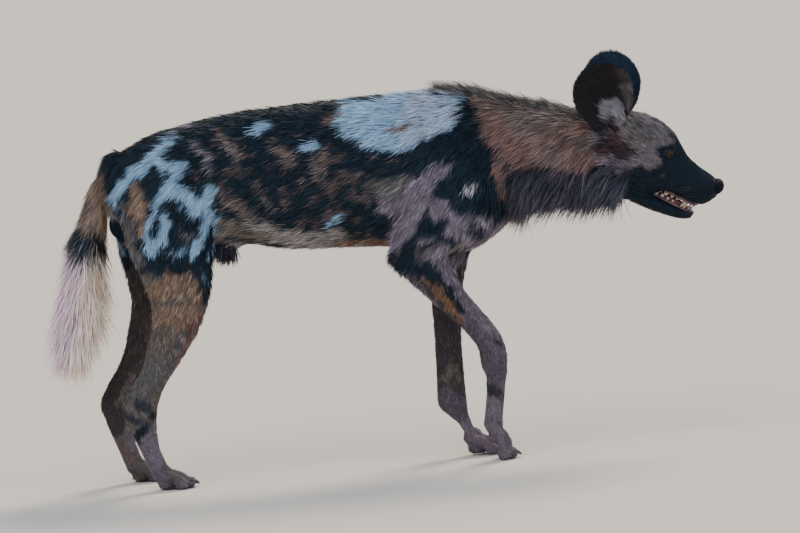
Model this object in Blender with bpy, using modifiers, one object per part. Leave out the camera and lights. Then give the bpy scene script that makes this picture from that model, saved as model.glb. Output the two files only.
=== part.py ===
# African wild dog, a life-size still model that stands in mid step.
# Metres, +Z up, +X towards the nose, -Y the animal's right side. The soles rest on z = 0.
# The trunk, the legs and the head are lofts fused into one skin, then parted by thin cuts.
import math
import random

import bmesh
import bpy
import numpy as np
from mathutils import Matrix, Vector

GAP = 0.0003                    # clearance between touching nodes
LOFT_SIDES = 24                 # points round each loft section
LOFT_STEPS = 4                  # sections added between two measured ones
BODY_VOXEL = 0.0045             # grid that fuses trunk and legs
HEAD_VOXEL = 0.0024             # finer grids for the head, the feet and the nose
FOOT_VOXEL = 0.0022
NOSE_VOXEL = 0.0011
BODY_TRIANGLES = 3150
HEAD_TRIANGLES = 2100
FOOT_TRIANGLES = 320
NOSE_TRIANGLES = 200

# Trunk and neck: x, back height, belly height, half width, how much the section narrows upwards
TRUNK = (
    (-0.448, 0.560, 0.512, 0.018, 0.00),
    (-0.428, 0.578, 0.478, 0.044, 0.05),
    (-0.395, 0.600, 0.452, 0.066, 0.08),
    (-0.350, 0.620, 0.438, 0.078, 0.10),
    (-0.300, 0.630, 0.429, 0.080, 0.12),
    (-0.240, 0.641, 0.420, 0.072, 0.08),
    (-0.180, 0.646, 0.403, 0.071, 0.02),
    (-0.110, 0.649, 0.389, 0.076, 0.05),
    (-0.030, 0.651, 0.386, 0.082, 0.12),
    (0.050, 0.653, 0.379, 0.084, 0.18),
    (0.110, 0.655, 0.364, 0.081, 0.22),
    (0.160, 0.655, 0.358, 0.078, 0.24),
    (0.205, 0.649, 0.368, 0.072, 0.18),
    (0.245, 0.637, 0.396, 0.067, 0.05),
    (0.285, 0.624, 0.424, 0.063, 0.00),
    (0.340, 0.609, 0.430, 0.061, 0.00),
    (0.395, 0.594, 0.424, 0.059, 0.00),
    (0.428, 0.563, 0.423, 0.049, 0.00),
    (0.455, 0.520, 0.428, 0.038, 0.00),
    (0.470, 0.480, 0.440, 0.024, 0.00),
)

# Legs, from the top down: x, z of the section's centre, half depth, tilt of the section in degrees,
# y of the centre, half width
HIND_LEG = (
    (-0.325, 0.575, 0.060, 0, 0.038, 0.036),
    (-0.336, 0.530, 0.080, 0, 0.046, 0.043),
    (-0.342, 0.490, 0.084, -4, 0.052, 0.043),
    (-0.339, 0.445, 0.081, -9, 0.058, 0.040),
    (-0.336, 0.400, 0.074, -10, 0.062, 0.036),
    (-0.331, 0.356, 0.064, -12, 0.065, 0.032),
    (-0.332, 0.312, 0.050, -13, 0.067, 0.029),
    (-0.343, 0.277, 0.043, -20, 0.068, 0.026),
    (-0.358, 0.248, 0.036, -28, 0.069, 0.023),
    (-0.373, 0.219, 0.030, -31, 0.070, 0.019),
    (-0.391, 0.190, 0.027, -34, 0.071, 0.017),
    (-0.408, 0.160, 0.031, -31, 0.072, 0.018),
    (-0.417, 0.133, 0.034, -21, 0.073, 0.018),
    (-0.413, 0.107, 0.027, -20, 0.074, 0.017),
    (-0.406, 0.080, 0.021, -14, 0.075, 0.016),
    (-0.396, 0.052, 0.018, -5, 0.076, 0.018),
    (-0.388, 0.030, 0.017, 0, 0.076, 0.021),
)
FORE_LEG_RIGHT = (
    (0.150, 0.590, 0.060, -5, 0.036, 0.026),
    (0.160, 0.530, 0.088, -3, 0.052, 0.034),
    (0.158, 0.465, 0.092, -5, 0.060, 0.036),
    (0.134, 0.410, 0.082, -7, 0.066, 0.034),
    (0.094, 0.369, 0.058, -1, 0.068, 0.029),
    (0.106, 0.340, 0.047, 3, 0.068, 0.026),
    (0.125, 0.313, 0.036, 16, 0.068, 0.023),
    (0.143, 0.289, 0.029, 32, 0.067, 0.021),
    (0.162, 0.266, 0.0265, 36, 0.066, 0.019),
    (0.186, 0.235, 0.025, 34, 0.064, 0.018),
    (0.201, 0.212, 0.025, 22, 0.062, 0.019),
    (0.207, 0.190, 0.026, 10, 0.061, 0.020),
    (0.207, 0.169, 0.026, 0, 0.060, 0.019),
    (0.209, 0.148, 0.019, -4, 0.059, 0.017),
    (0.206, 0.120, 0.0165, -6, 0.058, 0.017),
    (0.201, 0.092, 0.0165, -6, 0.058, 0.020),
    (0.198, 0.072, 0.016, -6, 0.058, 0.021),
)
FORE_LEG_LEFT = (
    (0.160, 0.590, 0.055, -5, 0.036, 0.026),
    (0.168, 0.530, 0.078, -3, 0.050, 0.032),
    (0.165, 0.465, 0.080, -5, 0.056, 0.034),
    (0.152, 0.410, 0.070, -7, 0.058, 0.033),
    (0.138, 0.360, 0.050, -6, 0.056, 0.029),
    (0.137, 0.325, 0.038, 0, 0.053, 0.025),
    (0.136, 0.290, 0.031, 0, 0.050, 0.022),
    (0.133, 0.245, 0.027, -2, 0.047, 0.019),
    (0.131, 0.200, 0.0255, 0, 0.044, 0.018),
    (0.130, 0.150, 0.026, -3, 0.042, 0.019),
    (0.129, 0.110, 0.027, -4, 0.041, 0.020),
    (0.131, 0.085, 0.025, -8, 0.040, 0.019),
    (0.141, 0.066, 0.020, -20, 0.040, 0.018),
    (0.151, 0.050, 0.018, -30, 0.040, 0.019),
    (0.160, 0.034, 0.016, -30, 0.040, 0.021),
)
# How far the left hind leg stands behind the right one, at each height
LEFT_HIND_STEP = (
    (0.030, -0.050), (0.100, -0.047), (0.150, -0.042), (0.220, -0.043), (0.300, -0.041),
    (0.360, -0.033), (0.420, -0.022), (0.500, -0.010), (0.575, 0.0),
)
NO_STEP = ((0.0, 0.0), (1.0, 0.0))

# Head, in its own frame: x along the muzzle, z up, origin between the cheek bones
HEAD_ORIGIN = Vector((0.4945, 0.0, 0.5138))
HEAD_PITCH = math.radians(33)   # nose down
HEAD_YAW = math.radians(-6)     # nose towards the right side
HEAD_ROLL = math.radians(6)     # right ear lower
# x, top, bottom, half width, narrowing upwards
SKULL = (
    (-0.135, 0.012, -0.100, 0.050, 0.00),
    (-0.110, 0.024, -0.104, 0.057, 0.05),
    (-0.080, 0.040, -0.100, 0.061, 0.12),
    (-0.050, 0.053, -0.094, 0.063, 0.18),
    (-0.020, 0.059, -0.088, 0.064, 0.20),
    (0.010, 0.060, -0.082, 0.061, 0.20),
    (0.038, 0.055, -0.070, 0.052, 0.18),
    (0.060, 0.042, -0.056, 0.042, 0.20),
    (0.078, 0.031, -0.044, 0.036, 0.22),
    (0.100, 0.0245, -0.039, 0.033, 0.20),
    (0.122, 0.022, -0.038, 0.0315, 0.16),
    (0.138, 0.020, -0.033, 0.0285, 0.12),
    (0.149, 0.016, -0.022, 0.0215, 0.08),
    (0.155, 0.009, -0.010, 0.011, 0.00),
)
JAW = (
    (-0.060, -0.030, -0.094, 0.046, 0.0),
    (-0.020, -0.038, -0.092, 0.046, 0.0),
    (0.020, -0.044, -0.089, 0.040, 0.0),
    (0.055, -0.050, -0.0855, 0.034, 0.0),
    (0.085, -0.052, -0.081, 0.028, 0.0),
    (0.110, -0.052, -0.076, 0.024, 0.0),
    (0.127, -0.051, -0.069, 0.019, 0.0),
    (0.135, -0.052, -0.062, 0.010, 0.0),
)
EYE = Vector((0.0440, 0.0285, 0.0250))
EYE_RADIUS = 0.0105
EYE_LOOK = math.radians(50)     # the eyes look this far outwards from the nose's direction
EYE_UP = math.radians(8)
LID_OPENING = (0.0092, 0.0066)  # half length and half height of the gap between the lids
LID_TILT = math.radians(-18)
MOUTH_CORNER = (0.058, -0.0497)
LIP_LINE = -0.039               # height of the upper lip's edge
JAW_LINE = -0.0510              # height of the lower lip's edge
# Opening between the jaws, seen from the side: up along the upper lip, back along the lower one
MOUTH_WEDGE = (
    MOUTH_CORNER, (0.076, -0.0420), (0.096, -0.0395), (0.116, -0.0385), (0.133, -0.0350),
    (0.146, -0.0250), (0.180, -0.0200), (0.180, -0.0530), (0.134, -0.0515), (0.090, -0.0507),
)
CANINE_LENGTH = 0.0115
TOOTH_SIDES = 5
NOSE_TIP = Vector((0.1475, 0.0, 0.0075))
TOOTH_ROW_LENGTH = 0.062
CHEEK_TEETH = 4

EAR_HEIGHT = 0.117
EAR_WIDTH = 0.106
EAR_WALL = 0.0036
EAR_ROWS = 11
EAR_COLUMNS = 9
EAR_BASE = Vector((-0.0625, 0.055, 0.0205))
EAR_BACK = -0.80                # lean of the ears backwards and outwards, for one unit of height
EAR_OUT = 0.16
EAR_FORWARD = 0.22              # the openings turn this far forwards
# Along the height of the ear: half width as a share, and depth of the dish in metres
EAR_CHORD = (
    (0.0, 0.36), (0.1, 0.58), (0.2, 0.76), (0.35, 0.93), (0.5, 1.0), (0.62, 0.99),
    (0.74, 0.91), (0.85, 0.74), (0.93, 0.53), (0.98, 0.31), (1.0, 0.10),
)
EAR_DEPTH = (
    (0.0, 0.014), (0.12, 0.022), (0.3, 0.026), (0.5, 0.022), (0.7, 0.015), (0.88, 0.007), (1.0, 0.001),
)

# Paws: sideways places of the four toes, and how much less each one reaches than the longest
TOE_SPREAD = (-0.0215, -0.0078, 0.0078, 0.0215)
TOE_SHORTER = (0.0125, 0.0, 0.0, 0.0125)
TOE_RADIUS = 0.0108
PAD_FLAT = 0.0012               # depth of the small flats that the pads stand on
CLAW_LENGTH = 0.015
CLAW_RADIUS = 0.0036
CLAW_SIDES = 5
# Ball of each foot, and how far the middle toes reach in front of it
PAWS = {
    "hind_foot_right": (Vector((-0.381, -0.076, 0.028)), 0.040),
    "hind_foot_left": (Vector((-0.431, 0.076, 0.028)), 0.040),
    "fore_foot_right": (Vector((0.199, -0.058, 0.060)), 0.024),
    "fore_foot_left": (Vector((0.164, 0.040, 0.030)), 0.040),
}
HOCK_CUT = 0.112                # height where the hind feet part from the legs
WRIST_CUT_RIGHT = 0.158
WRIST_CUT_LEFT = 0.112
STIFLE_CUT = 0.392              # where the lower hind legs part from the thighs
ELBOW_CUT = 0.345
NECK_CUT = Vector((0.262, 0.0, 0.535))
NECK_TILT = -14                 # degrees, the cut leans along the front of the shoulder

# Tail: x, z, core half depth, brush half depth, half width of the core
TAIL = (
    (-0.418, 0.575, 0.016, 0.016, 0.016),
    (-0.432, 0.556, 0.016, 0.018, 0.018),
    (-0.446, 0.528, 0.018, 0.022, 0.020),
    (-0.459, 0.497, 0.019, 0.027, 0.020),
    (-0.472, 0.462, 0.019, 0.032, 0.019),
    (-0.485, 0.420, 0.020, 0.040, 0.019),
    (-0.491, 0.386, 0.022, 0.046, 0.020),
    (-0.498, 0.350, 0.024, 0.051, 0.021),
    (-0.508, 0.308, 0.025, 0.053, 0.022),
    (-0.519, 0.272, 0.022, 0.049, 0.020),
    (-0.528, 0.238, 0.016, 0.038, 0.015),
    (-0.533, 0.208, 0.009, 0.022, 0.008),
)
# Locks: share of the length, of the width and of the thickness at each ring before the tip
LOCK_RINGS = ((0.0, 0.60, 1.0), (0.38, 1.0, 1.0), (0.74, 0.70, 0.6))
THROAT_HAIR = 0.016             # depth of the throat's hair that the neck's core leaves to locks
THROAT_FROM = 0.292
THROAT_STEP = 0.0225
THROAT_RINGS = 8
THROAT_LOCKS = 5
THROAT_SPREAD = 1.25            # radians to each side of straight down
THROAT_LOCK_WIDTH = 0.025
NAPE_LOCKS = 6
TAIL_TIERS = 5
TAIL_LOCKS_ROUND = 6
TAIL_LOCK_REACH = 0.27          # share of the tail that a lock spans
TAIL_LOCK_WIDTH = 0.043
TAIL_TIP_DROP = 0.018
SHEATH_TUFT = Vector((-0.247, 0, 0.399))
TUFT_LOCKS = 5
TUFT_LENGTH = 0.024
TAIL_SPLIT = 0.36               # share of the tail's length where its brush starts
TAIL_VOXEL = 0.0035
TAIL_TRIANGLES = (130, 160)      # tail root, then brush

SLOTS = {
    "head": "coat_brown", "lower_jaw": "coat_black", "nose": "nose_leather", "tongue": "tongue",
    "eye_right": "eye", "eye_left": "eye", "ear_right": "coat_black", "ear_left": "coat_black",
    "neck": "coat_brown", "torso": "coat_black", "sheath_tuft": "coat_black",
    "tail_root": "coat_tan", "tail_brush": "coat_white",
    "hind_leg_right": "coat_tan", "hind_leg_left": "coat_tan",
    "fore_leg_right": "coat_lilac", "fore_leg_left": "coat_tan",
    "hind_foot_right": "coat_lilac", "hind_foot_left": "coat_tan",
    "fore_foot_right": "coat_lilac", "fore_foot_left": "coat_lilac",
}
COLOURS = {
    "coat_black": (0.018, 0.018, 0.022),
    "coat_brown": (0.20, 0.115, 0.065),
    "coat_tan": (0.34, 0.20, 0.10),
    "coat_white": (0.62, 0.58, 0.55),
    "coat_lilac": (0.24, 0.17, 0.18),
    "nose_leather": (0.012, 0.013, 0.016),
    "eye": (0.05, 0.025, 0.012),
    "tongue": (0.42, 0.16, 0.17),
}


def clear_scene():
    for obj in list(bpy.data.objects):
        bpy.data.objects.remove(obj, do_unlink=True)
    for collection in list(bpy.data.collections):
        bpy.data.collections.remove(collection)


def material(slot):
    """One Principled finish for each named coat colour."""
    found = bpy.data.materials.get(slot)
    if found:
        return found
    made = bpy.data.materials.new(slot)
    made.use_nodes = True
    shader = made.node_tree.nodes["Principled BSDF"]
    shader.inputs["Base Color"].default_value = (*COLOURS[slot], 1.0)
    shader.inputs["Roughness"].default_value = 0.25 if slot in ("eye", "nose_leather") else 0.8
    shader.inputs["Metallic"].default_value = 0.0
    return made


def smooth_rows(rows, steps=LOFT_STEPS):
    """Measured rows with Catmull-Rom rows between them."""
    table = np.array(rows, float)
    padded = np.vstack([2 * table[0] - table[1], table, 2 * table[-1] - table[-2]])
    out = []
    for i in range(len(table) - 1):
        a, b, c, d = padded[i:i + 4]
        for k in range(steps):
            t = k / steps
            out.append(
                b + 0.5 * t * (c - a + t * (2 * a - 5 * b + 4 * c - d + t * (3 * (b - c) + d - a)))
            )
    out.append(table[-1])
    return out


def object_from(bm, name, collection):
    bmesh.ops.recalc_face_normals(bm, faces=bm.faces)
    mesh = bpy.data.meshes.new(name)
    bm.to_mesh(mesh)
    bm.free()
    obj = bpy.data.objects.new(name, mesh)
    collection.objects.link(obj)
    return obj


def loft(name, sections, collection, sides=LOFT_SIDES):
    """Closed tube through sections, each (centre, depth vector, width vector, narrowing)."""
    bm = bmesh.new()
    rings = []
    for centre, depth, width, pear in sections:
        ring = []
        for k in range(sides):
            a = 2 * math.pi * k / sides
            across = math.cos(a) * (1 - pear * math.sin(a))
            ring.append(bm.verts.new(centre + depth * math.sin(a) + width * across))
        rings.append(ring)
    for low, high in zip(rings, rings[1:]):
        for k in range(sides):
            n = (k + 1) % sides
            bm.faces.new((low[k], low[n], high[n], high[k]))
    for ring in (rings[0], rings[-1]):
        bm.faces.new(ring)
    return object_from(bm, name, collection)


def trunk_sections(rows, throat_hair=0.0):
    """Sections of the trunk or the head; the throat's ones leave room for its hair."""
    for x, top, bottom, half_width, pear in smooth_rows(rows):
        bottom += throat_hair * min(1.0, max(0.0, (x - 0.25) / 0.05))
        centre = Vector((x, 0, (top + bottom) / 2))
        yield centre, Vector((0, 0, (top - bottom) / 2)), Vector((0, half_width, 0)), pear


def leg_sections(rows, side, step=NO_STEP):
    """side is -1 for the right legs; step moves the leg forwards or back at each height."""
    heights, moves = zip(*step)
    for x, z, half_depth, tilt, y, half_width in smooth_rows(rows):
        a = math.radians(tilt)
        centre = Vector((x + float(np.interp(z, heights, moves)), side * y, z))
        yield centre, Vector((math.cos(a), 0, math.sin(a))) * half_depth, Vector((0, half_width, 0)), 0.0


def head_matrix():
    turn = Matrix.Rotation(HEAD_YAW, 4, "Z") @ Matrix.Rotation(HEAD_PITCH, 4, "Y")
    return Matrix.Translation(HEAD_ORIGIN) @ turn @ Matrix.Rotation(HEAD_ROLL, 4, "X")


def blob(name, centre, radii, collection, turn=None, rings=12):
    """Ellipsoid at a place, turned by a matrix."""
    bm = bmesh.new()
    bmesh.ops.create_uvsphere(bm, u_segments=2 * rings, v_segments=rings, radius=1.0)
    place = Matrix.Translation(centre) @ (turn or Matrix.Identity(4))
    bmesh.ops.transform(bm, matrix=place @ Matrix.Diagonal((*radii, 1.0)), verts=bm.verts)
    return object_from(bm, name, collection)


def box(name, centre, size, tilt, collection):
    """Cutter box, tilted about Y in degrees."""
    bm = bmesh.new()
    bmesh.ops.create_cube(bm, size=1.0)
    turn = Matrix.Rotation(math.radians(tilt), 4, "Y")
    bmesh.ops.transform(
        bm, matrix=Matrix.Translation(centre) @ turn @ Matrix.Diagonal((*size, 1.0)), verts=bm.verts
    )
    return object_from(bm, name, collection)


def evaluated_mesh(obj):
    bpy.context.view_layer.update()
    graph = bpy.context.evaluated_depsgraph_get()
    return bpy.data.meshes.new_from_object(obj.evaluated_get(graph), depsgraph=graph)


def bake_modifiers(obj):
    """Replaces the object's mesh by what its modifiers make."""
    made = evaluated_mesh(obj)
    obj.modifiers.clear()
    obj.data = made
    return obj


def keep_largest(obj):
    """Drops every closed surface but the largest."""
    bm = bmesh.new()
    bm.from_mesh(obj.data)
    left = set(bm.verts)
    groups = []
    while left:
        seed = left.pop()
        group, front = {seed}, [seed]
        while front:
            for edge in front.pop().link_edges:
                for vert in edge.verts:
                    if vert in left:
                        left.remove(vert)
                        group.add(vert)
                        front.append(vert)
        groups.append(group)
    groups.sort(key=len)
    for group in groups[:-1]:
        bmesh.ops.delete(bm, geom=list(group), context="VERTS")
    bm.to_mesh(obj.data)
    bm.free()
    return obj


def fuse(name, pieces, voxel, triangles, smoothing, collection):
    """Joins closed pieces into one skin on a voxel grid, smooths it and thins its faces."""
    bm = bmesh.new()
    for piece in pieces:
        bm.from_mesh(piece.data)
    obj = object_from(bm, name, collection)
    for piece in pieces:
        bpy.data.objects.remove(piece)
    remesh = obj.modifiers.new("fuse", "REMESH")
    remesh.mode = "VOXEL"
    remesh.voxel_size = voxel
    smooth = obj.modifiers.new("smooth", "SMOOTH")
    smooth.factor = 0.5
    smooth.iterations = smoothing
    bake_modifiers(obj)
    keep_largest(obj)
    thin = obj.modifiers.new("thin", "DECIMATE")
    thin.ratio = triangles / (2.0 * len(obj.data.polygons))
    bake_modifiers(obj)
    return obj


def combine(obj, other, operation, solver="EXACT"):
    """Boolean with one other object, applied."""
    cut = obj.modifiers.new(operation.lower(), "BOOLEAN")
    cut.operation = operation
    cut.solver = solver
    cut.object = other
    return bake_modifiers(obj)


def union_all(obj, pieces, work):
    """One union of the node with all of its locks, teeth or claws."""
    group = bpy.data.collections.new(obj.name + "_pieces")
    work.children.link(group)
    for piece in pieces:
        for old in list(piece.users_collection):
            old.objects.unlink(piece)
        group.objects.link(piece)
    join = obj.modifiers.new("join", "BOOLEAN")
    join.operation = "UNION"
    join.operand_type = "COLLECTION"
    join.collection = group
    join.solver = "MANIFOLD"
    bake_modifiers(obj)
    for piece in pieces:
        bpy.data.objects.remove(piece)
    bpy.data.collections.remove(group)
    return keep_largest(obj)


def copy_of(obj, name, collection):
    made = bpy.data.objects.new(name, obj.data.copy())
    collection.objects.link(made)
    return made


def swollen(obj, by, work):
    """Copy of an object grown outwards by a small clearance."""
    made = copy_of(obj, obj.name + "_swollen", work)
    grow = made.modifiers.new("grow", "DISPLACE")
    grow.strength = by
    grow.mid_level = 0.0
    return bake_modifiers(made)


def part_off(source, name, centre, size, tilt, node_set, work):
    """Takes what lies in a box out of source as its own node, with a thin cut between them."""
    taken = copy_of(source, name, node_set)
    inner = box("inner", Vector(centre), Vector(size), tilt, work)
    combine(taken, inner, "INTERSECT")
    grown = Vector(size) + Vector((2 * GAP,) * 3)
    outer = box("outer", Vector(centre), grown, tilt, work)
    combine(source, outer, "DIFFERENCE")
    for cutter in (inner, outer):
        bpy.data.objects.remove(cutter)
    keep_largest(taken)
    keep_largest(source)
    return taken


def finish(obj, slot):
    """Material, smooth shading with creases, and an origin at the model's own."""
    obj.data.materials.clear()
    obj.data.materials.append(material(slot))
    obj.data.shade_smooth()
    obj.data.set_sharp_from_angle(angle=math.radians(60))
    return obj


def bone(name, start, end, radius, collection, flat=1.0):
    """Ellipsoid that covers both ends of a bone; flat squeezes its height."""
    along = end - start
    turn = along.to_track_quat("X", "Z").to_matrix().to_4x4()
    reach = along.length / 2 + radius
    return blob(name, (start + end) / 2, (reach, radius, radius * flat), collection, turn, 8)


def claw(root, aim, work):
    """Curved cone along aim, bent downwards."""
    side = aim.cross(Vector((0, 0, 1))).normalized()
    bm = bmesh.new()
    rings = []
    place, heading = root.copy(), aim.normalized()
    for share in (1.0, 0.75):
        up = side.cross(heading)
        ring = []
        for k in range(CLAW_SIDES):
            a = 2 * math.pi * k / CLAW_SIDES
            rim = side * math.cos(a) * 0.75 + up * math.sin(a)
            ring.append(bm.verts.new(place + rim * CLAW_RADIUS * share))
        rings.append(ring)
        place = place + heading * CLAW_LENGTH / 2
        heading = (heading + Vector((0, 0, -0.35))).normalized()
    tip = bm.verts.new(place)
    for k in range(CLAW_SIDES):
        n = (k + 1) % CLAW_SIDES
        bm.faces.new((rings[0][k], rings[0][n], rings[1][n], rings[1][k]))
        bm.faces.new((rings[1][k], rings[1][n], tip))
    bm.faces.new(rings[0])
    return object_from(bm, "claw", work)


def toes(name, ball, reach, work):
    """Pads, knuckles and claws in front of the ball of the foot; the toe tips rest on the floor."""
    soft, claws = [], []
    lift = ball.z - 0.028
    for spread, short in zip(TOE_SPREAD, TOE_SHORTER):
        root = ball + Vector((-0.004, spread * 0.75, 0.0))
        tip = Vector((ball.x + reach - short, ball.y + spread, TOE_RADIUS - PAD_FLAT))
        knuckle = (root + tip) / 2 + Vector((0.003 + lift * 0.10, spread * 0.15, 0.0055))
        soft.append(bone(name + "_root", root, knuckle, 0.0098, work))
        soft.append(bone(name + "_toe", knuckle, tip, 0.0096, work))
        soft.append(blob(name + "_tip", tip, (0.0125, 0.0098, TOE_RADIUS), work, rings=8))
        aim = Vector((0.94, spread * 4.0, -0.24))
        claws.append(claw(tip + Vector((0.0075, spread * 0.10, 0.0035)), aim, work))
    pad = Vector((ball.x + 0.004, ball.y, 0.0115 - PAD_FLAT)) + Vector((-0.012, 0, 0.9)) * lift
    soft.append(blob(name + "_pad", pad, (0.020, 0.020, 0.0115), work, rings=8))
    return soft, claws


def lock(start, end, out, width, thickness, bow, work):
    """Flat tapered lock of hair from start to end, bowed outwards between them."""
    along = end - start
    across = along.cross(out).normalized()
    raised = across.cross(along).normalized()
    bm = bmesh.new()
    rings = []
    for share, wide, thick in LOCK_RINGS:
        place = start + along * share + raised * bow * math.sin(math.pi * share)
        w = across * width * wide / 2
        h = raised * thickness * thick / 2
        rings.append([bm.verts.new(p) for p in (place + w, place + h, place - w, place - h)])
    tip = bm.verts.new(end)
    for low, high in zip(rings, rings[1:]):
        for k in range(4):
            n = (k + 1) % 4
            bm.faces.new((low[k], low[n], high[n], high[k]))
    for k in range(4):
        bm.faces.new((rings[-1][k], rings[-1][(k + 1) % 4], tip))
    bm.faces.new(rings[0])
    return object_from(bm, "lock", work)


def neck_locks(work):
    """Fringe of locks under the throat, which hang and lie backwards, and a few along the nape."""
    draw = random.Random(7)
    rows = smooth_rows(TRUNK, 12)
    made = []
    for ring in range(THROAT_RINGS):
        x = THROAT_FROM + ring * THROAT_STEP
        row = min(rows, key=lambda row: abs(row[0] - x))
        for k in range(THROAT_LOCKS):
            a = (k + 0.5 * (ring % 2)) / (THROAT_LOCKS - 0.5) * 2 - 1
            a = -math.pi / 2 + a * THROAT_SPREAD + draw.uniform(-0.05, 0.05)
            hang = -math.sin(a)
            out = Vector((0, math.cos(a), math.sin(a)))
            root = section_point(row, a, 0.84 - 0.10 * hang)
            reach = draw.uniform(0.85, 1.15)
            lie = Vector((-0.046 + 0.022 * hang, 0, -0.014 - 0.012 * hang))
            tip = root + (lie + out * (0.010 + 0.016 * hang)) * reach
            made.append(lock(root, tip, out, THROAT_LOCK_WIDTH, 0.007, 0.004, work))
    for k in range(NAPE_LOCKS):
        row = min(rows, key=lambda row: abs(row[0] - (0.405 - k * 0.024)))
        root = section_point(row, math.pi / 2, 0.90)
        lean = 0.012 * (k % 3 - 1)
        tip = root + Vector((-0.055, lean, 0.034))
        made.append(lock(root, tip, Vector((0, 0.3 * (k % 2) - 0.15, 1)), 0.026, 0.007, 0.002, work))
    return made


def section_point(row, angle, share):
    """Point of a trunk section at an angle about its middle, at a share of its radius."""
    x, top, bottom, half_width = row[:4]
    wide = half_width * share
    high = (top - bottom) / 2 * share
    return Vector((x, wide * math.cos(angle), (top + bottom) / 2 + high * math.sin(angle)))


def tail_locks(rows, work):
    """Long locks in tiers round the tail's core, each one reaching down to the brush's outline."""
    draw = random.Random(11)
    last = len(rows) - 1
    made = []
    for tier in range(TAIL_TIERS):
        t = TAIL_SPLIT - 0.02 + (0.88 - TAIL_SPLIT) * tier / (TAIL_TIERS - 1)
        for k in range(TAIL_LOCKS_ROUND):
            a = 2 * math.pi * (k + 0.5 * (tier % 2)) / TAIL_LOCKS_ROUND + draw.uniform(-0.12, 0.12)
            begin = rows[min(last, int(t * last))]
            reach = min(1.0, t + TAIL_LOCK_REACH * draw.uniform(0.85, 1.1))
            finish_row = rows[min(last, int(round(reach * last)))]
            depth, width = math.cos(a), math.sin(a)
            root = Vector((begin[0] + begin[2] * 0.75 * depth, begin[4] * 0.75 * width, begin[1]))
            radius = finish_row[3] * draw.uniform(0.93, 1.03)
            if reach >= 1.0:
                radius *= 0.55
            tip = Vector((finish_row[0] + radius * depth, radius * 0.88 * width, finish_row[1]))
            if reach >= 1.0:
                tip.z -= draw.uniform(0.004, TAIL_TIP_DROP)
            out = Vector((depth, width, 0.25))
            made.append(lock(root, tip, out, TAIL_LOCK_WIDTH, 0.010, 0.013, work))
    return made


def build_sheath_tuft(torso_whole, work, nodes):
    """Tuft of hair that hangs under the belly."""
    draw = random.Random(5)
    tuft = blob("sheath_tuft", SHEATH_TUFT, (0.015, 0.010, 0.012), nodes, rings=6)
    locks = []
    for k in range(TUFT_LOCKS):
        a = 2 * math.pi * k / TUFT_LOCKS
        out = Vector((math.cos(a), 0.7 * math.sin(a), 0))
        root = SHEATH_TUFT + out * 0.006
        tip = SHEATH_TUFT + out * 0.014 + Vector((0.004, 0, -TUFT_LENGTH * draw.uniform(0.8, 1.1)))
        locks.append(lock(root, tip, out, 0.011, 0.0055, 0.003, work))
    union_all(tuft, locks, work)
    combine(tuft, torso_whole, "DIFFERENCE", "MANIFOLD")
    return keep_largest(tuft)


def build_body(work, nodes):
    """Trunk, neck and upper legs as one skin, still whole."""
    pieces = [
        loft("trunk", trunk_sections(TRUNK, THROAT_HAIR), work),
        loft("hind_right", leg_sections(HIND_LEG, -1), work),
        loft("hind_left", leg_sections(HIND_LEG, 1, LEFT_HIND_STEP), work),
        loft("fore_right", leg_sections(FORE_LEG_RIGHT, -1), work),
        loft("fore_left", leg_sections(FORE_LEG_LEFT, 1), work),
        blob("scrotum", Vector((-0.418, 0, 0.452)), (0.017, 0.018, 0.024), work),
        blob("sheath", Vector((-0.235, 0, 0.417)), (0.040, 0.015, 0.019), work),
    ]
    return fuse("torso", pieces, BODY_VOXEL, BODY_TRIANGLES, 4, nodes)


def build_foot(name, rows, side, step, cut, work, nodes):
    """Lower end of a leg on a finer grid, with toes, pads and claws, cut level at z = 0."""
    ball, reach = PAWS[name]
    sections = list(leg_sections(rows, side, step))
    kept = [section for section in sections if section[0].z < cut + 0.03]
    soft, claws = toes(name, ball, reach, work)
    end = kept[-1][0]
    soft.append(bone(name + "_ball", end, ball + Vector((-0.002, 0, 0)), 0.018, work))
    foot = fuse(name, [loft("shaft", kept, work)] + soft, FOOT_VOXEL, FOOT_TRIANGLES, 3, nodes)
    foot = union_all(foot, claws, work)
    floor = box("floor", Vector((ball.x, ball.y, -0.05)), (0.4, 0.2, 0.1), 0, work)
    top = box("top", Vector((ball.x, ball.y, cut + 0.1)), (0.4, 0.2, 0.2), 0, work)
    for cutter in (floor, top):
        combine(foot, cutter, "DIFFERENCE")
        bpy.data.objects.remove(cutter)
    return keep_largest(foot)


def prism(name, outline, half_width, collection):
    """Polygon in the x-z plane, extruded across y."""
    bm = bmesh.new()
    sides = [[bm.verts.new((x, y, z)) for x, z in outline] for y in (-half_width, half_width)]
    bm.faces.new(sides[0])
    bm.faces.new(sides[1])
    for k in range(len(outline)):
        n = (k + 1) % len(outline)
        bm.faces.new((sides[0][k], sides[0][n], sides[1][n], sides[1][k]))
    return object_from(bm, name, collection)


def eye_frame(side):
    """Place and turn of an eye in the head's frame; x looks out of the eye."""
    centre = Vector((EYE.x, side * EYE.y, EYE.z))
    turn = Matrix.Rotation(side * EYE_LOOK, 4, "Z") @ Matrix.Rotation(-EYE_UP, 4, "Y")
    return Matrix.Translation(centre) @ turn


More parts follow.
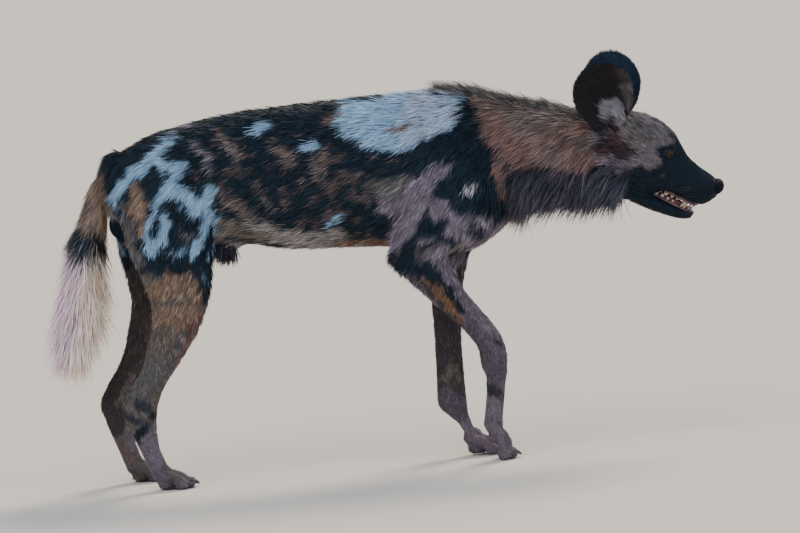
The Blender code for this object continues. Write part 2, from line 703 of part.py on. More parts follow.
def head_pieces(work):
    """Overlapping masses of the head in its own frame: skull, cheeks, brows, lips and jaw."""
    pieces = [
        loft("skull", trunk_sections(SKULL), work),
        loft("jaw", trunk_sections(JAW), work),
    ]
    for side in (-1, 1):
        masses = (
            ("masseter", (-0.030, 0.040, -0.040), (0.056, 0.0235, 0.041)),
            ("cheek_bone", (-0.004, 0.043, -0.006), (0.054, 0.0175, 0.020)),
            ("brow", (0.030, 0.025, 0.0320), (0.028, 0.015, 0.0120)),
            ("forehead", (0.000, 0.014, 0.0385), (0.052, 0.030, 0.0215)),
            ("temple", (-0.024, 0.028, 0.026), (0.050, 0.026, 0.026)),
            ("lip_pad", (0.118, 0.0165, -0.017), (0.030, 0.0155, 0.0205)),
        )
        for name, centre, radii in masses:
            place = Vector((centre[0], side * centre[1], centre[2]))
            pieces.append(blob(name, place, radii, work))
        frame = eye_frame(side)
        turn = frame.to_3x3().to_4x4()
        lids = frame @ Vector((0.0006, 0, 0))
        pieces.append(blob("lids", lids, (EYE_RADIUS + 0.0026,) * 3, work, turn))
    return pieces


def tooth(root, length, radius, lean, work):
    """Small cone; length is negative for a lower tooth that points up."""
    bm = bmesh.new()
    ring = [
        bm.verts.new(root + Vector((math.cos(q) * radius, math.sin(q) * radius * 0.7, 0)))
        for q in [k * 2 * math.pi / TOOTH_SIDES for k in range(TOOTH_SIDES)]
    ]
    tip = bm.verts.new(root + Vector((lean, 0, -length)))
    for k in range(TOOTH_SIDES):
        bm.faces.new((ring[k], ring[(k + 1) % TOOTH_SIDES], tip))
    bm.faces.new(ring)
    return object_from(bm, "tooth", work)


def teeth(upper, work):
    """Canines, incisors and cheek teeth of one jaw, rooted in the lip's inner edge."""
    sign = 1 if upper else -1
    level = LIP_LINE if upper else JAW_LINE
    made = []
    for side in (-1, 1):
        canine = (0.119, 0.0175) if upper else (0.1235, 0.0135)
        root = Vector((canine[0], side * canine[1], level + sign * 0.004))
        made.append(tooth(root, sign * CANINE_LENGTH, 0.0034, -0.003 * sign, work))
        for k in range(CHEEK_TEETH):
            x = 0.106 - k * TOOTH_ROW_LENGTH / 7
            y = side * ((0.0185 if upper else 0.0155) + 0.0022 * k)
            size = 0.0026 + 0.0003 * k
            root = Vector((x, y, level + sign * 0.003))
            made.append(tooth(root, sign * (0.0052 - 0.0005 * k), size, 0, work))
        for k in range(3):
            y = side * (0.0022 + 0.0041 * k)
            x = (0.1345 if upper else 0.1290) - 0.0014 * k
            made.append(tooth(Vector((x, y, level + sign * 0.003)), sign * 0.0075, 0.0021, 0, work))
    return made


def build_head(work, nodes):
    """Head, lower jaw, nose, eyes, tongue and ears, in the head's own frame."""
    head = fuse("head", head_pieces(work), HEAD_VOXEL, HEAD_TRIANGLES, 9, nodes)
    whole = swollen(head, GAP, work)
    ears = [build_ear(side, whole, work, nodes) for side in (-1, 1)]
    eyes = []
    for side, name in ((-1, "eye_right"), (1, "eye_left")):
        frame = eye_frame(side)
        eye = blob(name, Vector(), (EYE_RADIUS,) * 3, nodes, rings=7)
        eye.data.transform(frame)
        eyes.append(eye)
        socket = blob("socket", Vector(), (EYE_RADIUS + 2 * GAP,) * 3, work, rings=8)
        tilt = Matrix.Rotation(side * LID_TILT, 4, "X")
        opening = blob("opening", Vector((0.011, 0, 0)), (0.014, *LID_OPENING), work, rings=8)
        for cutter, place in ((socket, frame), (opening, frame @ tilt)):
            cutter.data.transform(place)
            combine(head, cutter, "DIFFERENCE")
            bpy.data.objects.remove(cutter)
    nose = build_nose(work, nodes)
    mouth = prism("mouth", MOUTH_WEDGE, 0.09, work)
    combine(head, mouth, "DIFFERENCE")
    bpy.data.objects.remove(mouth)
    back = MOUTH_CORNER[0]
    centre = Vector((back + 0.1, 0, MOUTH_CORNER[1] - 0.1003))
    jaw = part_off(head, "lower_jaw", centre, (0.2, 0.2, 0.2), 0, nodes, work)
    nose_room = swollen(nose[1], GAP, work)
    combine(head, nose_room, "DIFFERENCE")
    keep_largest(head)
    union_all(head, teeth(True, work), work)
    union_all(jaw, teeth(False, work), work)
    tongue = blob("tongue", Vector((0.091, 0, JAW_LINE + 0.0012)), (0.031, 0.0125, 0.0036), nodes, rings=5)
    beds = [swollen(jaw, GAP, work), swollen(head, GAP, work)]
    for bed in beds:
        combine(tongue, bed, "DIFFERENCE")
    keep_largest(tongue)
    for helper in (nose_room, nose[1], *beds):
        bpy.data.objects.remove(helper)
    made = [head, jaw, nose[0], tongue, *eyes, *ears]
    for obj in made + [whole]:
        obj.data.transform(head_matrix())
    return made, whole


def build_nose(work, nodes):
    """Nose leather with its wings and two nostrils, and the same shape uncut for its seat."""
    parts = [blob("tip", NOSE_TIP, (0.0125, 0.0165, 0.0140), work)]
    for side in (-1, 1):
        wing = NOSE_TIP + Vector((-0.0005, side * 0.0105, -0.0030))
        parts.append(blob("wing", wing, (0.0115, 0.0092, 0.0095), work))
    groove = NOSE_TIP + Vector((0.0015, 0, -0.0150))
    parts.append(blob("lip_groove", groove, (0.0065, 0.0055, 0.0085), work))
    nose = fuse("nose", parts, NOSE_VOXEL, NOSE_TRIANGLES, 3, nodes)
    whole = copy_of(nose, "nose_whole", work)
    for side in (-1, 1):
        hole = blob("nostril", Vector(), (0.0075, 0.0036, 0.0046), work, rings=5)
        slit = blob("slit", Vector(), (0.0090, 0.0016, 0.0036), work, rings=5)
        hole.data.transform(
            Matrix.Translation(NOSE_TIP + Vector((0.0100, side * 0.0075, -0.0005)))
            @ Matrix.Rotation(side * math.radians(28), 4, "Z")
            @ Matrix.Rotation(side * math.radians(-20), 4, "X")
        )
        slit.data.transform(
            Matrix.Translation(NOSE_TIP + Vector((0.0075, side * 0.0150, -0.0050)))
            @ Matrix.Rotation(side * math.radians(50), 4, "Z")
            @ Matrix.Rotation(side * math.radians(40), 4, "X")
        )
        for cutter in (hole, slit):
            combine(nose, cutter, "DIFFERENCE")
            bpy.data.objects.remove(cutter)
    return keep_largest(nose), whole


def build_ear(side, head_whole, work, nodes):
    """Round upright dish that opens to the side; its foot is seated on the head."""
    up = Vector((EAR_BACK, side * EAR_OUT, 1.0)).normalized()
    facing = Vector((EAR_FORWARD, side, 0.0))
    facing = (facing - up * facing.dot(up)).normalized()
    front = up.cross(facing).normalized() * side
    if front.x < 0:
        front = -front
    base = Vector((EAR_BASE.x, side * EAR_BASE.y, EAR_BASE.z))
    rows = np.linspace(0, 1, EAR_ROWS)
    chord = np.interp(rows, *zip(*EAR_CHORD)) * EAR_WIDTH / 2
    depth = np.interp(rows, *zip(*EAR_DEPTH))
    inner = np.empty((EAR_ROWS, EAR_COLUMNS, 3))
    for i, v in enumerate(rows):
        for j in range(EAR_COLUMNS):
            s = math.sin(math.pi * (j / (EAR_COLUMNS - 1) - 0.5))
            curl = depth[i] * (1 - abs(s) ** 2.4)
            place = base + up * (EAR_HEIGHT * v) + front * (chord[i] * s) - facing * curl
            inner[i, j] = place
    across = np.gradient(inner, axis=1)
    along = np.gradient(inner, axis=0)
    normal = np.cross(across, along)
    normal /= np.linalg.norm(normal, axis=2, keepdims=True) + 1e-12
    if float((normal[EAR_ROWS // 2, EAR_COLUMNS // 2] * np.array(facing)).sum()) > 0:
        normal = -normal
    edge = np.abs(np.linspace(-1, 1, EAR_COLUMNS)) ** 3
    wall = EAR_WALL * (1 - 0.45 * np.maximum(edge[None, :], rows[:, None] ** 5))
    outer = inner + normal * wall[:, :, None]
    bm = bmesh.new()
    front_side = [[bm.verts.new(p) for p in row] for row in inner]
    back_side = [[bm.verts.new(p) for p in row] for row in outer]
    for sheet in (front_side, back_side):
        for i in range(EAR_ROWS - 1):
            for j in range(EAR_COLUMNS - 1):
                bm.faces.new((sheet[i][j], sheet[i][j + 1], sheet[i + 1][j + 1], sheet[i + 1][j]))
    last = EAR_ROWS - 1
    for i in range(last):
        for j in (0, EAR_COLUMNS - 1):
            bm.faces.new((front_side[i][j], front_side[i + 1][j], back_side[i + 1][j], back_side[i][j]))
    for j in range(EAR_COLUMNS - 1):
        for i in (0, last):
            bm.faces.new((front_side[i][j], front_side[i][j + 1], back_side[i][j + 1], back_side[i][j]))
    ear = object_from(bm, "ear_left" if side > 0 else "ear_right", nodes)
    combine(ear, head_whole, "DIFFERENCE")
    return keep_largest(ear)


def build_tail(torso_whole, work, nodes):
    """Tail root and brush; the brush carries the long hair."""
    made = []
    spans = (("tail_root", 0.0, TAIL_SPLIT), ("tail_brush", TAIL_SPLIT, 1.0))
    rows = smooth_rows(TAIL)
    count = len(rows)
    for (name, start, end), triangles in zip(spans, TAIL_TRIANGLES):
        sections = []
        for k, (x, z, core, brush, half_width) in enumerate(rows):
            t = k / (count - 1)
            if not start - 0.02 <= t <= end + 0.02:
                continue
            blend = min(1.0, max(0.0, 1 - (t - TAIL_SPLIT) / 0.10))
            hair = core + (brush - core) * blend
            grow = hair / core
            ahead = rows[min(k + 1, count - 1)]
            behind = rows[max(k - 1, 0)]
            line = Vector((ahead[0] - behind[0], 0, ahead[1] - behind[1])).normalized()
            across = Vector((-line.z, 0, line.x))
            sections.append((Vector((x, 0, z)), across * hair, Vector((0, half_width * grow, 0)), 0.0))
        piece = fuse(name, [loft("hair", sections, work)], TAIL_VOXEL, triangles, 2, nodes)
        made.append(piece)
    root, brush = made
    split = rows[int(TAIL_SPLIT * (count - 1))]
    upper = box("upper", Vector((split[0], 0, split[1] + 0.25)), (0.4, 0.3, 0.5), 0, work)
    lower = box("lower", Vector((split[0], 0, split[1] - 0.25 + GAP)), (0.4, 0.3, 0.5), 0, work)
    combine(root, lower, "DIFFERENCE")
    combine(root, torso_whole, "DIFFERENCE")
    keep_largest(brush)
    union_all(brush, tail_locks(rows, work), work)
    combine(brush, upper, "DIFFERENCE", "MANIFOLD")
    for helper in (upper, lower):
        bpy.data.objects.remove(helper)
    return [keep_largest(root), keep_largest(brush)]


def main():
    clear_scene()
    nodes = bpy.data.collections.new("african_wild_dog")
    work = bpy.data.collections.new("work")
    for collection in (nodes, work):
        bpy.context.scene.collection.children.link(collection)
    made, head_whole = build_head(work, nodes)
    torso = build_body(work, nodes)
    torso_whole = swollen(torso, GAP, work)
    made += build_tail(torso_whole, work, nodes)
    made.append(build_sheath_tuft(torso_whole, work, nodes))
    ears_grown = [swollen(obj, GAP, work) for obj in made if obj.name.startswith("ear_")]
    neck = part_off(torso, "neck", NECK_CUT + Vector((0.25, 0, 0)), (0.5, 0.4, 0.6), NECK_TILT, nodes, work)
    union_all(neck, neck_locks(work), work)
    shoulder = swollen(torso, GAP, work)
    for cutter in (head_whole, shoulder, *ears_grown):
        combine(neck, cutter, "DIFFERENCE", "MANIFOLD")
        bpy.data.objects.remove(cutter)
    keep_largest(neck)
    made.append(neck)
    legs = (
        ("hind_leg_right", -1, -0.35, STIFLE_CUT, HOCK_CUT),
        ("hind_leg_left", 1, -0.35, STIFLE_CUT, HOCK_CUT),
        ("fore_leg_right", -1, 0.15, ELBOW_CUT, WRIST_CUT_RIGHT),
        ("fore_leg_left", 1, 0.15, ELBOW_CUT, WRIST_CUT_LEFT),
    )
    for name, side, x, top, foot in legs:
        size = Vector((0.30, 0.30, top - foot))
        centre = Vector((x, side * (0.15 + 0.002), (top + foot) / 2))
        leg = part_off(torso, name, centre, size, 0, nodes, work)
        made.append(leg)
    feet = (
        ("hind_foot_right", HIND_LEG, -1, NO_STEP, HOCK_CUT),
        ("hind_foot_left", HIND_LEG, 1, LEFT_HIND_STEP, HOCK_CUT),
        ("fore_foot_right", FORE_LEG_RIGHT, -1, NO_STEP, WRIST_CUT_RIGHT),
        ("fore_foot_left", FORE_LEG_LEFT, 1, NO_STEP, WRIST_CUT_LEFT),
    )
    for name, rows, side, step, cut in feet:
        made.append(build_foot(name, rows, side, step, cut - GAP, work, nodes))
    made.append(torso)
    bpy.data.objects.remove(torso_whole)
    for obj in made:
        finish(obj, SLOTS.get(obj.name, "coat_black"))
    centre_model(made)
    bpy.data.collections.remove(work)


def centre_model(made):
    """Moves the model so that the middle of its base is the origin."""
    points = np.array([vert.co[:] for obj in made for vert in obj.data.vertices])
    low, high = points.min(axis=0), points.max(axis=0)
    shift = Vector((-(low[0] + high[0]) / 2, -(low[1] + high[1]) / 2, -low[2]))
    print("moved by", [round(v, 5) for v in shift])
    for obj in made:
        obj.data.transform(Matrix.Translation(shift))


main()
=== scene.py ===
# African wild dog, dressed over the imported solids: one skin under a coat of mesh tufts,
# with its eyes, lids, nose leather, mouth, claws and whiskers.
import math

import bmesh
import bpy
import numpy as np
from mathutils import Matrix, Vector
from mathutils.bvhtree import BVHTree
from mathutils.kdtree import KDTree


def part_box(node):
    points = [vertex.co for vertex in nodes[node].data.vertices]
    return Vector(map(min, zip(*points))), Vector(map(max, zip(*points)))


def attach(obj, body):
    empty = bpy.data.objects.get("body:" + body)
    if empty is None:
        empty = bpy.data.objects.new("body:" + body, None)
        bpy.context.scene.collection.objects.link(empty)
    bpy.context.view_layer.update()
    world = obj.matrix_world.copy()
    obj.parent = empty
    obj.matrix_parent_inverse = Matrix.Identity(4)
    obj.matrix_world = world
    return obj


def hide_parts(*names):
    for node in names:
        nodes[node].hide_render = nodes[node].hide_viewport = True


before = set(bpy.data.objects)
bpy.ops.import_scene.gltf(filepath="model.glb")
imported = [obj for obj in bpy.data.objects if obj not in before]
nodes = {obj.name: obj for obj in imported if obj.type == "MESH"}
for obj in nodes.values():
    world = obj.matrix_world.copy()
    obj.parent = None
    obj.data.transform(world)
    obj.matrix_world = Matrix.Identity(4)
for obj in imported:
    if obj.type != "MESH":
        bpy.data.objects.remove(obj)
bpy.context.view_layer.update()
floorGap = 0.0003  # nothing comes nearer to the floor
print("frame loaded with", len(nodes), "nodes")


def turned(angle, axis):
    return Matrix.Rotation(math.radians(angle), 4, axis)


def link(name, data):
    obj = bpy.data.objects.new(name, data)
    bpy.context.scene.collection.objects.link(obj)
    return obj


# where the head sits, in the frame the solids were drawn in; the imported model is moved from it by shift
headSeat = {"origin": (0.4945, 0.0, 0.5138), "yaw": -6, "pitch": 33, "roll": 6}
eyeLook = {"seat": (0.0440, 0.0285, 0.0250), "radius": 0.0105, "outward": 50, "up": 8}


def eyeSeat(side):
    # middle of an eyeball in the head's frame; side is -1 on the right and 1 on the left
    return np.array(eyeLook["seat"]) * (1, side, 1)


headTurn = (
    Matrix.Translation(headSeat["origin"]) @ turned(headSeat["yaw"], "Z")
    @ turned(headSeat["pitch"], "Y") @ turned(headSeat["roll"], "X")
)
eyeLow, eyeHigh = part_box("eye_right")
shift = (eyeLow + eyeHigh) / 2 - headTurn @ Vector(eyeSeat(-1))
headPlace = Matrix.Translation(shift) @ headTurn
offset = np.array(shift)

# --- camera and light

view = {"centre": (0.0583, 0.3467), "width": 1.40, "lens": 300, "elevation": 5, "roll": 5, "reach": 200}


def placeCamera():
    rise, roll = math.radians(view["elevation"]), math.radians(view["roll"])
    ahead = Vector((0, math.cos(rise), -math.sin(rise)))
    level = Vector((1, 0, 0))
    upright = Vector((0, math.sin(rise), math.cos(rise)))
    right = level * math.cos(roll) - upright * math.sin(roll)
    up = level * math.sin(roll) + upright * math.cos(roll)
    data = bpy.data.cameras.new("camera")
    data.lens = view["lens"]
    data.clip_end = view["reach"]
    far = view["lens"] / data.sensor_width * view["width"]
    camera = link("camera", data)
    target = Vector((view["centre"][0] + shift.x, 0, view["centre"][1]))
    columns = Matrix((right, up, -ahead)).transposed().to_4x4()
    camera.matrix_world = Matrix.Translation(target - ahead * far) @ columns
    bpy.context.scene.camera = camera


studio = {
    "sky": (0.70, 0.78, 0.90), "skyStrength": 0.62,
    # name: where it shines from, colour, strength, softness in degrees
    "suns": (
        ("key", (-0.5, -1.0, 1.3), (1.0, 0.96, 0.92), 1.5, 50),
        ("rim", (0.55, 1.0, 1.15), (1.0, 0.80, 0.58), 3.0, 25),
        ("fill", (1.2, -1.0, 0.35), (0.80, 0.88, 1.0), 0.7, 60),
    ),
}


def placeLights():
    world = bpy.data.worlds.new("studio")
    world.use_nodes = True
    sky = world.node_tree.nodes["Background"]
    sky.inputs["Color"].default_value = (*studio["sky"], 1)
    sky.inputs["Strength"].default_value = studio["skyStrength"]
    bpy.context.scene.world = world
    for name, source, colour, strength, softness in studio["suns"]:
        data = bpy.data.lights.new(name, "SUN")
        data.energy = strength
        data.color = colour
        data.angle = math.radians(softness)
        link(name, data).rotation_euler = Vector(source).to_track_quat("Z", "Y").to_euler()


placeCamera()
placeLights()
print("camera and lights placed")

# --- shader words


class Wire:
    # one output of a node, that sums and products can be written with
    def __init__(self, finish, socket):
        self.finish = finish
        self.socket = socket

    def __add__(self, other):
        return self.finish.sum("ADD", self, other)

    def __sub__(self, other):
        return self.finish.sum("SUBTRACT", self, other)

    def __rsub__(self, other):
        return self.finish.sum("SUBTRACT", other, self)

    def __mul__(self, other):
        return self.finish.sum("MULTIPLY", self, other)

    __radd__ = __add__
    __rmul__ = __mul__


class Finish:
    # one material: every node in it comes from node()
    def __init__(self, name):
        self.material = bpy.data.materials.new(name)
        self.material.use_nodes = True
        self.tree = self.material.node_tree
        self.tree.nodes.clear()

    def node(self, kind, settings=None, sockets=None, out=0):
        made = self.tree.nodes.new(kind)
        for key, value in (settings or {}).items():
            setattr(made, key, value)
        for key, value in (sockets or {}).items():
            if isinstance(value, Wire):
                self.tree.links.new(value.socket, made.inputs[key])
            else:
                made.inputs[key].default_value = value
        return None if out is None else Wire(self, made.outputs[out])

    def sum(self, operation, a, b):
        return self.node("ShaderNodeMath", {"operation": operation}, {0: a, 1: b})

    def place(self):
        return self.node("ShaderNodeTexCoord", out="Object")

    def attribute(self, name, out="Color"):
        return self.node("ShaderNodeAttribute", {"attribute_name": name}, out=out)

    def noise(self, scale, detail):
        sockets = {"Vector": self.place(), "Scale": scale, "Detail": detail, "Roughness": 0.55}
        return self.node("ShaderNodeTexNoise", {}, sockets)

    def cells(self, scale):
        # how far each point is from the nearest edge between cells
        sockets = {"Vector": self.place(), "Scale": scale}
        return self.node("ShaderNodeTexVoronoi", {"feature": "DISTANCE_TO_EDGE"}, sockets, "Distance")

    def step(self, value, low, high, start=0.0, end=1.0):
        return self.node(
            "ShaderNodeMapRange", {"interpolation_type": "SMOOTHSTEP"},
            {"Value": value, "From Min": low, "From Max": high, "To Min": start, "To Max": end},
        )

    def mix(self, share, a, b, blend="MIX"):
        return self.node("ShaderNodeMix", {"data_type": "RGBA", "blend_type": blend}, {0: share, 6: a, 7: b}, 2)

    def bump(self, height, strength, depth):
        return self.node("ShaderNodeBump", {}, {"Height": height, "Strength": strength, "Distance": depth})

    def close(self, **sockets):
        # names of the shader's sockets with _ for each space
        ready = {key.replace("_", " "): value for key, value in sockets.items()}
        shader = self.node("ShaderNodeBsdfPrincipled", {}, ready)
        self.node("ShaderNodeOutputMaterial", {}, {"Surface": shader}, None)
        return self.material


def rgb(red, green, blue):
    return (red, green, blue, 1.0)


# --- small mesh helpers


def newObject(name, bm, material=None, smooth=True):
    mesh = bpy.data.meshes.new(name)
    bm.to_mesh(mesh)
    bm.free()
    if material:
        mesh.materials.append(material)
    mesh.shade_smooth() if smooth else mesh.shade_flat()
    return link(name, mesh)


def bake(obj):
    # leaves the object with its modifiers' result as a plain mesh
    graph = bpy.context.evaluated_depsgraph_get()
    graph.update()
    made = bpy.data.meshes.new_from_object(obj.evaluated_get(graph))
    obj.modifiers.clear()
    old = obj.data
    obj.data = made
    bpy.data.meshes.remove(old)
    return obj


def fuse(obj, voxel, rounds):
    # one closed surface of small faces, smoothed
    remesh = obj.modifiers.new("fuse", "REMESH")
    remesh.mode = "VOXEL"
    remesh.voxel_size = voxel
    ease = obj.modifiers.new("ease", "SMOOTH")
    ease.factor = 0.5
    ease.iterations = rounds
    return bake(obj)


def joined(pieces):
    # one bmesh of many, which are freed
    whole = bmesh.new()
    for bm in pieces:
        mesh = bpy.data.meshes.new("part")
        bm.to_mesh(mesh)
        bm.free()
        whole.from_mesh(mesh)
        bpy.data.meshes.remove(mesh)
    return whole


def readPoints(mesh):
    flat = np.empty(len(mesh.vertices) * 3, np.float32)
    mesh.vertices.foreach_get("co", flat)
    return flat.reshape(-1, 3).astype(float)


def readTriangles(mesh):
    mesh.calc_loop_triangles()
    flat = np.empty(len(mesh.loop_triangles) * 3, np.int32)
    mesh.loop_triangles.foreach_get("vertices", flat)
    return flat.reshape(-1, 3)


def unit(vectors):
    return vectors / (np.linalg.norm(vectors, axis=-1, keepdims=True) + 1e-12)


def apply(matrix, points):
    table = np.array(matrix)
    return points @ table[:3, :3].T + table[:3, 3]


def smoothRows(rows, steps=5):
    # Catmull-Rom rows between the measured ones
    table = np.array(rows, float)
    padded = np.vstack([2 * table[0] - table[1], table, 2 * table[-1] - table[-2]])
    out = []
    for a, b, c, d in zip(padded, padded[1:], padded[2:], padded[3:]):
        for k in range(steps):
            t = k / steps
            out.append(b + 0.5 * t * (c - a + t * (2 * a - 5 * b + 4 * c - d + t * (3 * (b - c) + d - a))))
    out.append(table[-1])
    return out


def bridge(rings, capEnds=False):
    # skins rings of points, each a list of places
    bm = bmesh.new()
    last = first = None
    for places in rings:
        verts = bmesh.ops.create_circle(bm, segments=len(places), radius=1.0)["verts"]
        for vert, place in zip(verts, places):
            vert.co = place
        edges = list({edge for vert in verts for edge in vert.link_edges})
        if last:
            bmesh.ops.bridge_loops(bm, edges=last + edges)
        first = first or edges
        last = edges
    if capEnds:
        bmesh.ops.contextual_create(bm, geom=first)
        bmesh.ops.contextual_create(bm, geom=last)
    bmesh.ops.recalc_face_normals(bm, faces=bm.faces)
    return bm


def tube(rings, sides=32):
    # closed tube through rings, each (centre, half depth vector, half width vector)
    bm = bmesh.new()
    circle = [vert.co.copy() for vert in bmesh.ops.create_circle(bm, segments=sides, radius=1.0)["verts"]]
    bm.free()
    return bridge([[centre + depth * p.y + width * p.x for p in circle] for centre, depth, width in rings], True)


# --- skin: the solids' flesh fused to one surface, with finer ears and the cores of neck and tail

skin = {
    "voxel": 0.0017, "triangles": 180000, "swell": 0.0004, "smoothing": 5, "easing": 24, "blending": 14,
    "sack": ((-0.430, 0.0, 0.462), (0.013, 0.016, 0.021)),  # middle, half sizes
    "flesh": (
        "torso", "head", "lower_jaw", "fore_leg_right", "fore_leg_left", "hind_leg_right", "hind_leg_left",
        "fore_foot_right", "fore_foot_left", "hind_foot_right", "hind_foot_left", "eye_right", "eye_left", "nose",
    ),
    # neck core: x, top, bottom, half width
    "neck": (
        (0.190, 0.650, 0.380, 0.070), (0.245, 0.636, 0.404, 0.066), (0.285, 0.623, 0.437, 0.062),
        (0.340, 0.608, 0.444, 0.060), (0.395, 0.592, 0.440, 0.058), (0.428, 0.562, 0.439, 0.048),
        (0.455, 0.520, 0.444, 0.037),
    ),
    # tail core: x, z, half depth, half width
    "tail": (
        (-0.405, 0.588, 0.016, 0.016), (-0.418, 0.575, 0.016, 0.016), (-0.432, 0.556, 0.015, 0.016),
        (-0.446, 0.528, 0.015, 0.016), (-0.459, 0.497, 0.014, 0.015), (-0.472, 0.462, 0.014, 0.014),
        (-0.485, 0.420, 0.013, 0.013), (-0.491, 0.386, 0.013, 0.013), (-0.498, 0.350, 0.012, 0.012),
        (-0.508, 0.308, 0.011, 0.011), (-0.519, 0.272, 0.009, 0.009), (-0.527, 0.240, 0.006, 0.006),
    ),
    # side view of the gap between the jaws, in the head's frame
    "mouth": (
        (0.058, -0.0497), (0.076, -0.0420), (0.096, -0.0395), (0.116, -0.0385), (0.133, -0.0350),
        (0.146, -0.0250), (0.180, -0.0200), (0.180, -0.0530), (0.134, -0.0515), (0.090, -0.0507),
    ),
}
ear = {
    "base": (-0.0625, 0.055, 0.0205), "height": 0.117, "width": 0.106, "wall": 0.0030,
    "back": -0.80, "out": 0.16, "forward": 0.22, "rows": 44, "columns": 40,
    "chord": ((0.0, 0.36), (0.1, 0.58), (0.2, 0.76), (0.35, 0.93), (0.5, 1.0), (0.62, 0.99),
              (0.74, 0.91), (0.85, 0.74), (0.93, 0.53), (0.98, 0.31), (1.0, 0.10)),
    "depth": ((0.0, 0.014), (0.12, 0.022), (0.3, 0.026), (0.5, 0.022), (0.7, 0.015), (0.88, 0.007), (1.0, 0.001)),
}


def earAxes(side):
    up = Vector((ear["back"], side * ear["out"], 1.0)).normalized()
    facing = Vector((ear["forward"], side, 0.0))
    facing = (facing - up * facing.dot(up)).normalized()
    front = up.cross(facing).normalized()
    if front.x < 0:
        front = -front
    return up, facing, front


def earPoint(side, across, height, lift=0.0):
    # point of the ear's inner face; across runs from -1 at the back rim to 1 at the front rim
    up, facing, front = earAxes(side)
    base = Vector((ear["base"][0], side * ear["base"][1], ear["base"][2]))
    chord = np.interp(height, *zip(*ear["chord"])) * ear["width"] / 2
    curl = np.interp(height, *zip(*ear["depth"])) * (1 - abs(across) ** 2.4)
    return base + up * (ear["height"] * height) + front * (chord * across) - facing * (curl - lift)


def earShell(side):
    bm = bmesh.new()
    grid = bmesh.ops.create_grid(bm, x_segments=ear["columns"], y_segments=ear["rows"], size=1.0)["verts"]
    for vert in grid:
        vert.co = headPlace @ earPoint(side, math.sin(math.pi / 2 * vert.co.x), (vert.co.y + 1) / 2)
    bmesh.ops.recalc_face_normals(bm, faces=bm.faces)
    middle = min(bm.faces, key=lambda f: (f.calc_center_median() - headPlace @ earPoint(side, 0, 0.5)).length)
    inward = headPlace.to_3x3() @ earAxes(side)[1]
    if middle.normal.dot(inward) < 0:
        bmesh.ops.reverse_faces(bm, faces=bm.faces)
    bmesh.ops.solidify(bm, geom=bm.faces, thickness=ear["wall"])
    return bm


def mouthCutter():
    # solid as wide as the head in the shape of the open mouth
    bm = bmesh.new()
    outline = [bm.verts.new((x, -0.09, z)) for x, z in skin["mouth"]]
    face = bm.faces.new(outline)
    grown = bmesh.ops.extrude_face_region(bm, geom=[face])["geom"]
    for vert in grown:
        if isinstance(vert, bmesh.types.BMVert):
            vert.co.y += 0.18
    bmesh.ops.transform(bm, matrix=headPlace, verts=bm.verts)
    bmesh.ops.recalc_face_normals(bm, faces=bm.faces)
    return newObject("mouthCutter", bm)


def nodeCopy(name, swell=0.0):
    bm = bmesh.new()
    bm.from_mesh(nodes[name].data)
    bmesh.ops.remove_doubles(bm, verts=bm.verts, dist=1e-6)
    bm.normal_update()
    for vert in bm.verts:
        vert.co += vert.normal * swell
    return bm


def fleshPiece(name, cutter):
    bm = nodeCopy(name)
    if name in ("head", "lower_jaw"):  # without their teeth
        obj = newObject("flesh", bm)
        cut = obj.modifiers.new("cut", "BOOLEAN")
        cut.operation = "DIFFERENCE"
        cut.solver = "EXACT"
        cut.object = cutter
        bake(obj)
        bm = bmesh.new()
        bm.from_mesh(obj.data)
        bpy.data.objects.remove(obj)
    bm.normal_update()
    for vert in bm.verts:
        vert.co += vert.normal * skin["swell"]
    return bm


def neckCore():
    rings = []
    for x, top, bottom, width in smoothRows(skin["neck"]):
        middle = Vector((x, 0, (top + bottom) / 2)) + shift
        rings.append((middle, Vector((0, 0, (top - bottom) / 2)), Vector((0, width, 0))))
    return tube(rings)


def tailCore():
    rings, rows = [], smoothRows(skin["tail"])
    for k, (x, z, depth, width) in enumerate(rows):
        ahead, behind = rows[min(k + 1, len(rows) - 1)], rows[max(k - 1, 0)]
        line = Vector((ahead[0] - behind[0], 0, ahead[1] - behind[1])).normalized()
        rings.append((Vector((x, 0, z)) + shift, Vector((-line.z, 0, line.x)) * depth, Vector((0, width, 0))))
    return tube(rings)


def sackShape():
    bm = bmesh.new()
    bmesh.ops.create_uvsphere(bm, u_segments=24, v_segments=16, radius=1.0)
    middle, half = skin["sack"]
    for vert in bm.verts:
        vert.co = Vector(middle) + shift + Vector([a * b for a, b in zip(vert.co, half)])
    return bm


def keepLargest(mesh):
    # the loose inner shells go
    bm = bmesh.new()
    bm.from_mesh(mesh)
    seen, best = set(), set()
    for vert in bm.verts:
        if vert in seen:
            continue
        island, edge = {vert}, [vert]
        while edge:
            for link in edge.pop().link_edges:
                for other in link.verts:
                    if other not in island:
                        island.add(other)
                        edge.append(other)
        seen |= island
        best = max(best, island, key=len)
    bmesh.ops.delete(bm, geom=[vert for vert in bm.verts if vert not in best], context="VERTS")
    bm.to_mesh(mesh)
    bm.free()


def buildSkin():
    cutter = mouthCutter()
    pieces = [fleshPiece(name, cutter) for name in skin["flesh"]]
    bpy.data.objects.remove(cutter)
    pieces += [earShell(-1), earShell(1), neckCore(), tailCore(), sackShape()]
    obj = fuse(newObject("skin", joined(pieces)), skin["voxel"], skin["smoothing"])
    thin = obj.modifiers.new("thin", "DECIMATE")
    thin.ratio = min(1.0, skin["triangles"] / (2 * len(obj.data.polygons)))
    bake(obj)
    keepLargest(obj.data)
    obj.data.shade_smooth()
    return obj


skinPiece = buildSkin()
print("skin fused:", len(skinPiece.data.vertices), "points")

# --- the coat's lie, length and depth over the skin

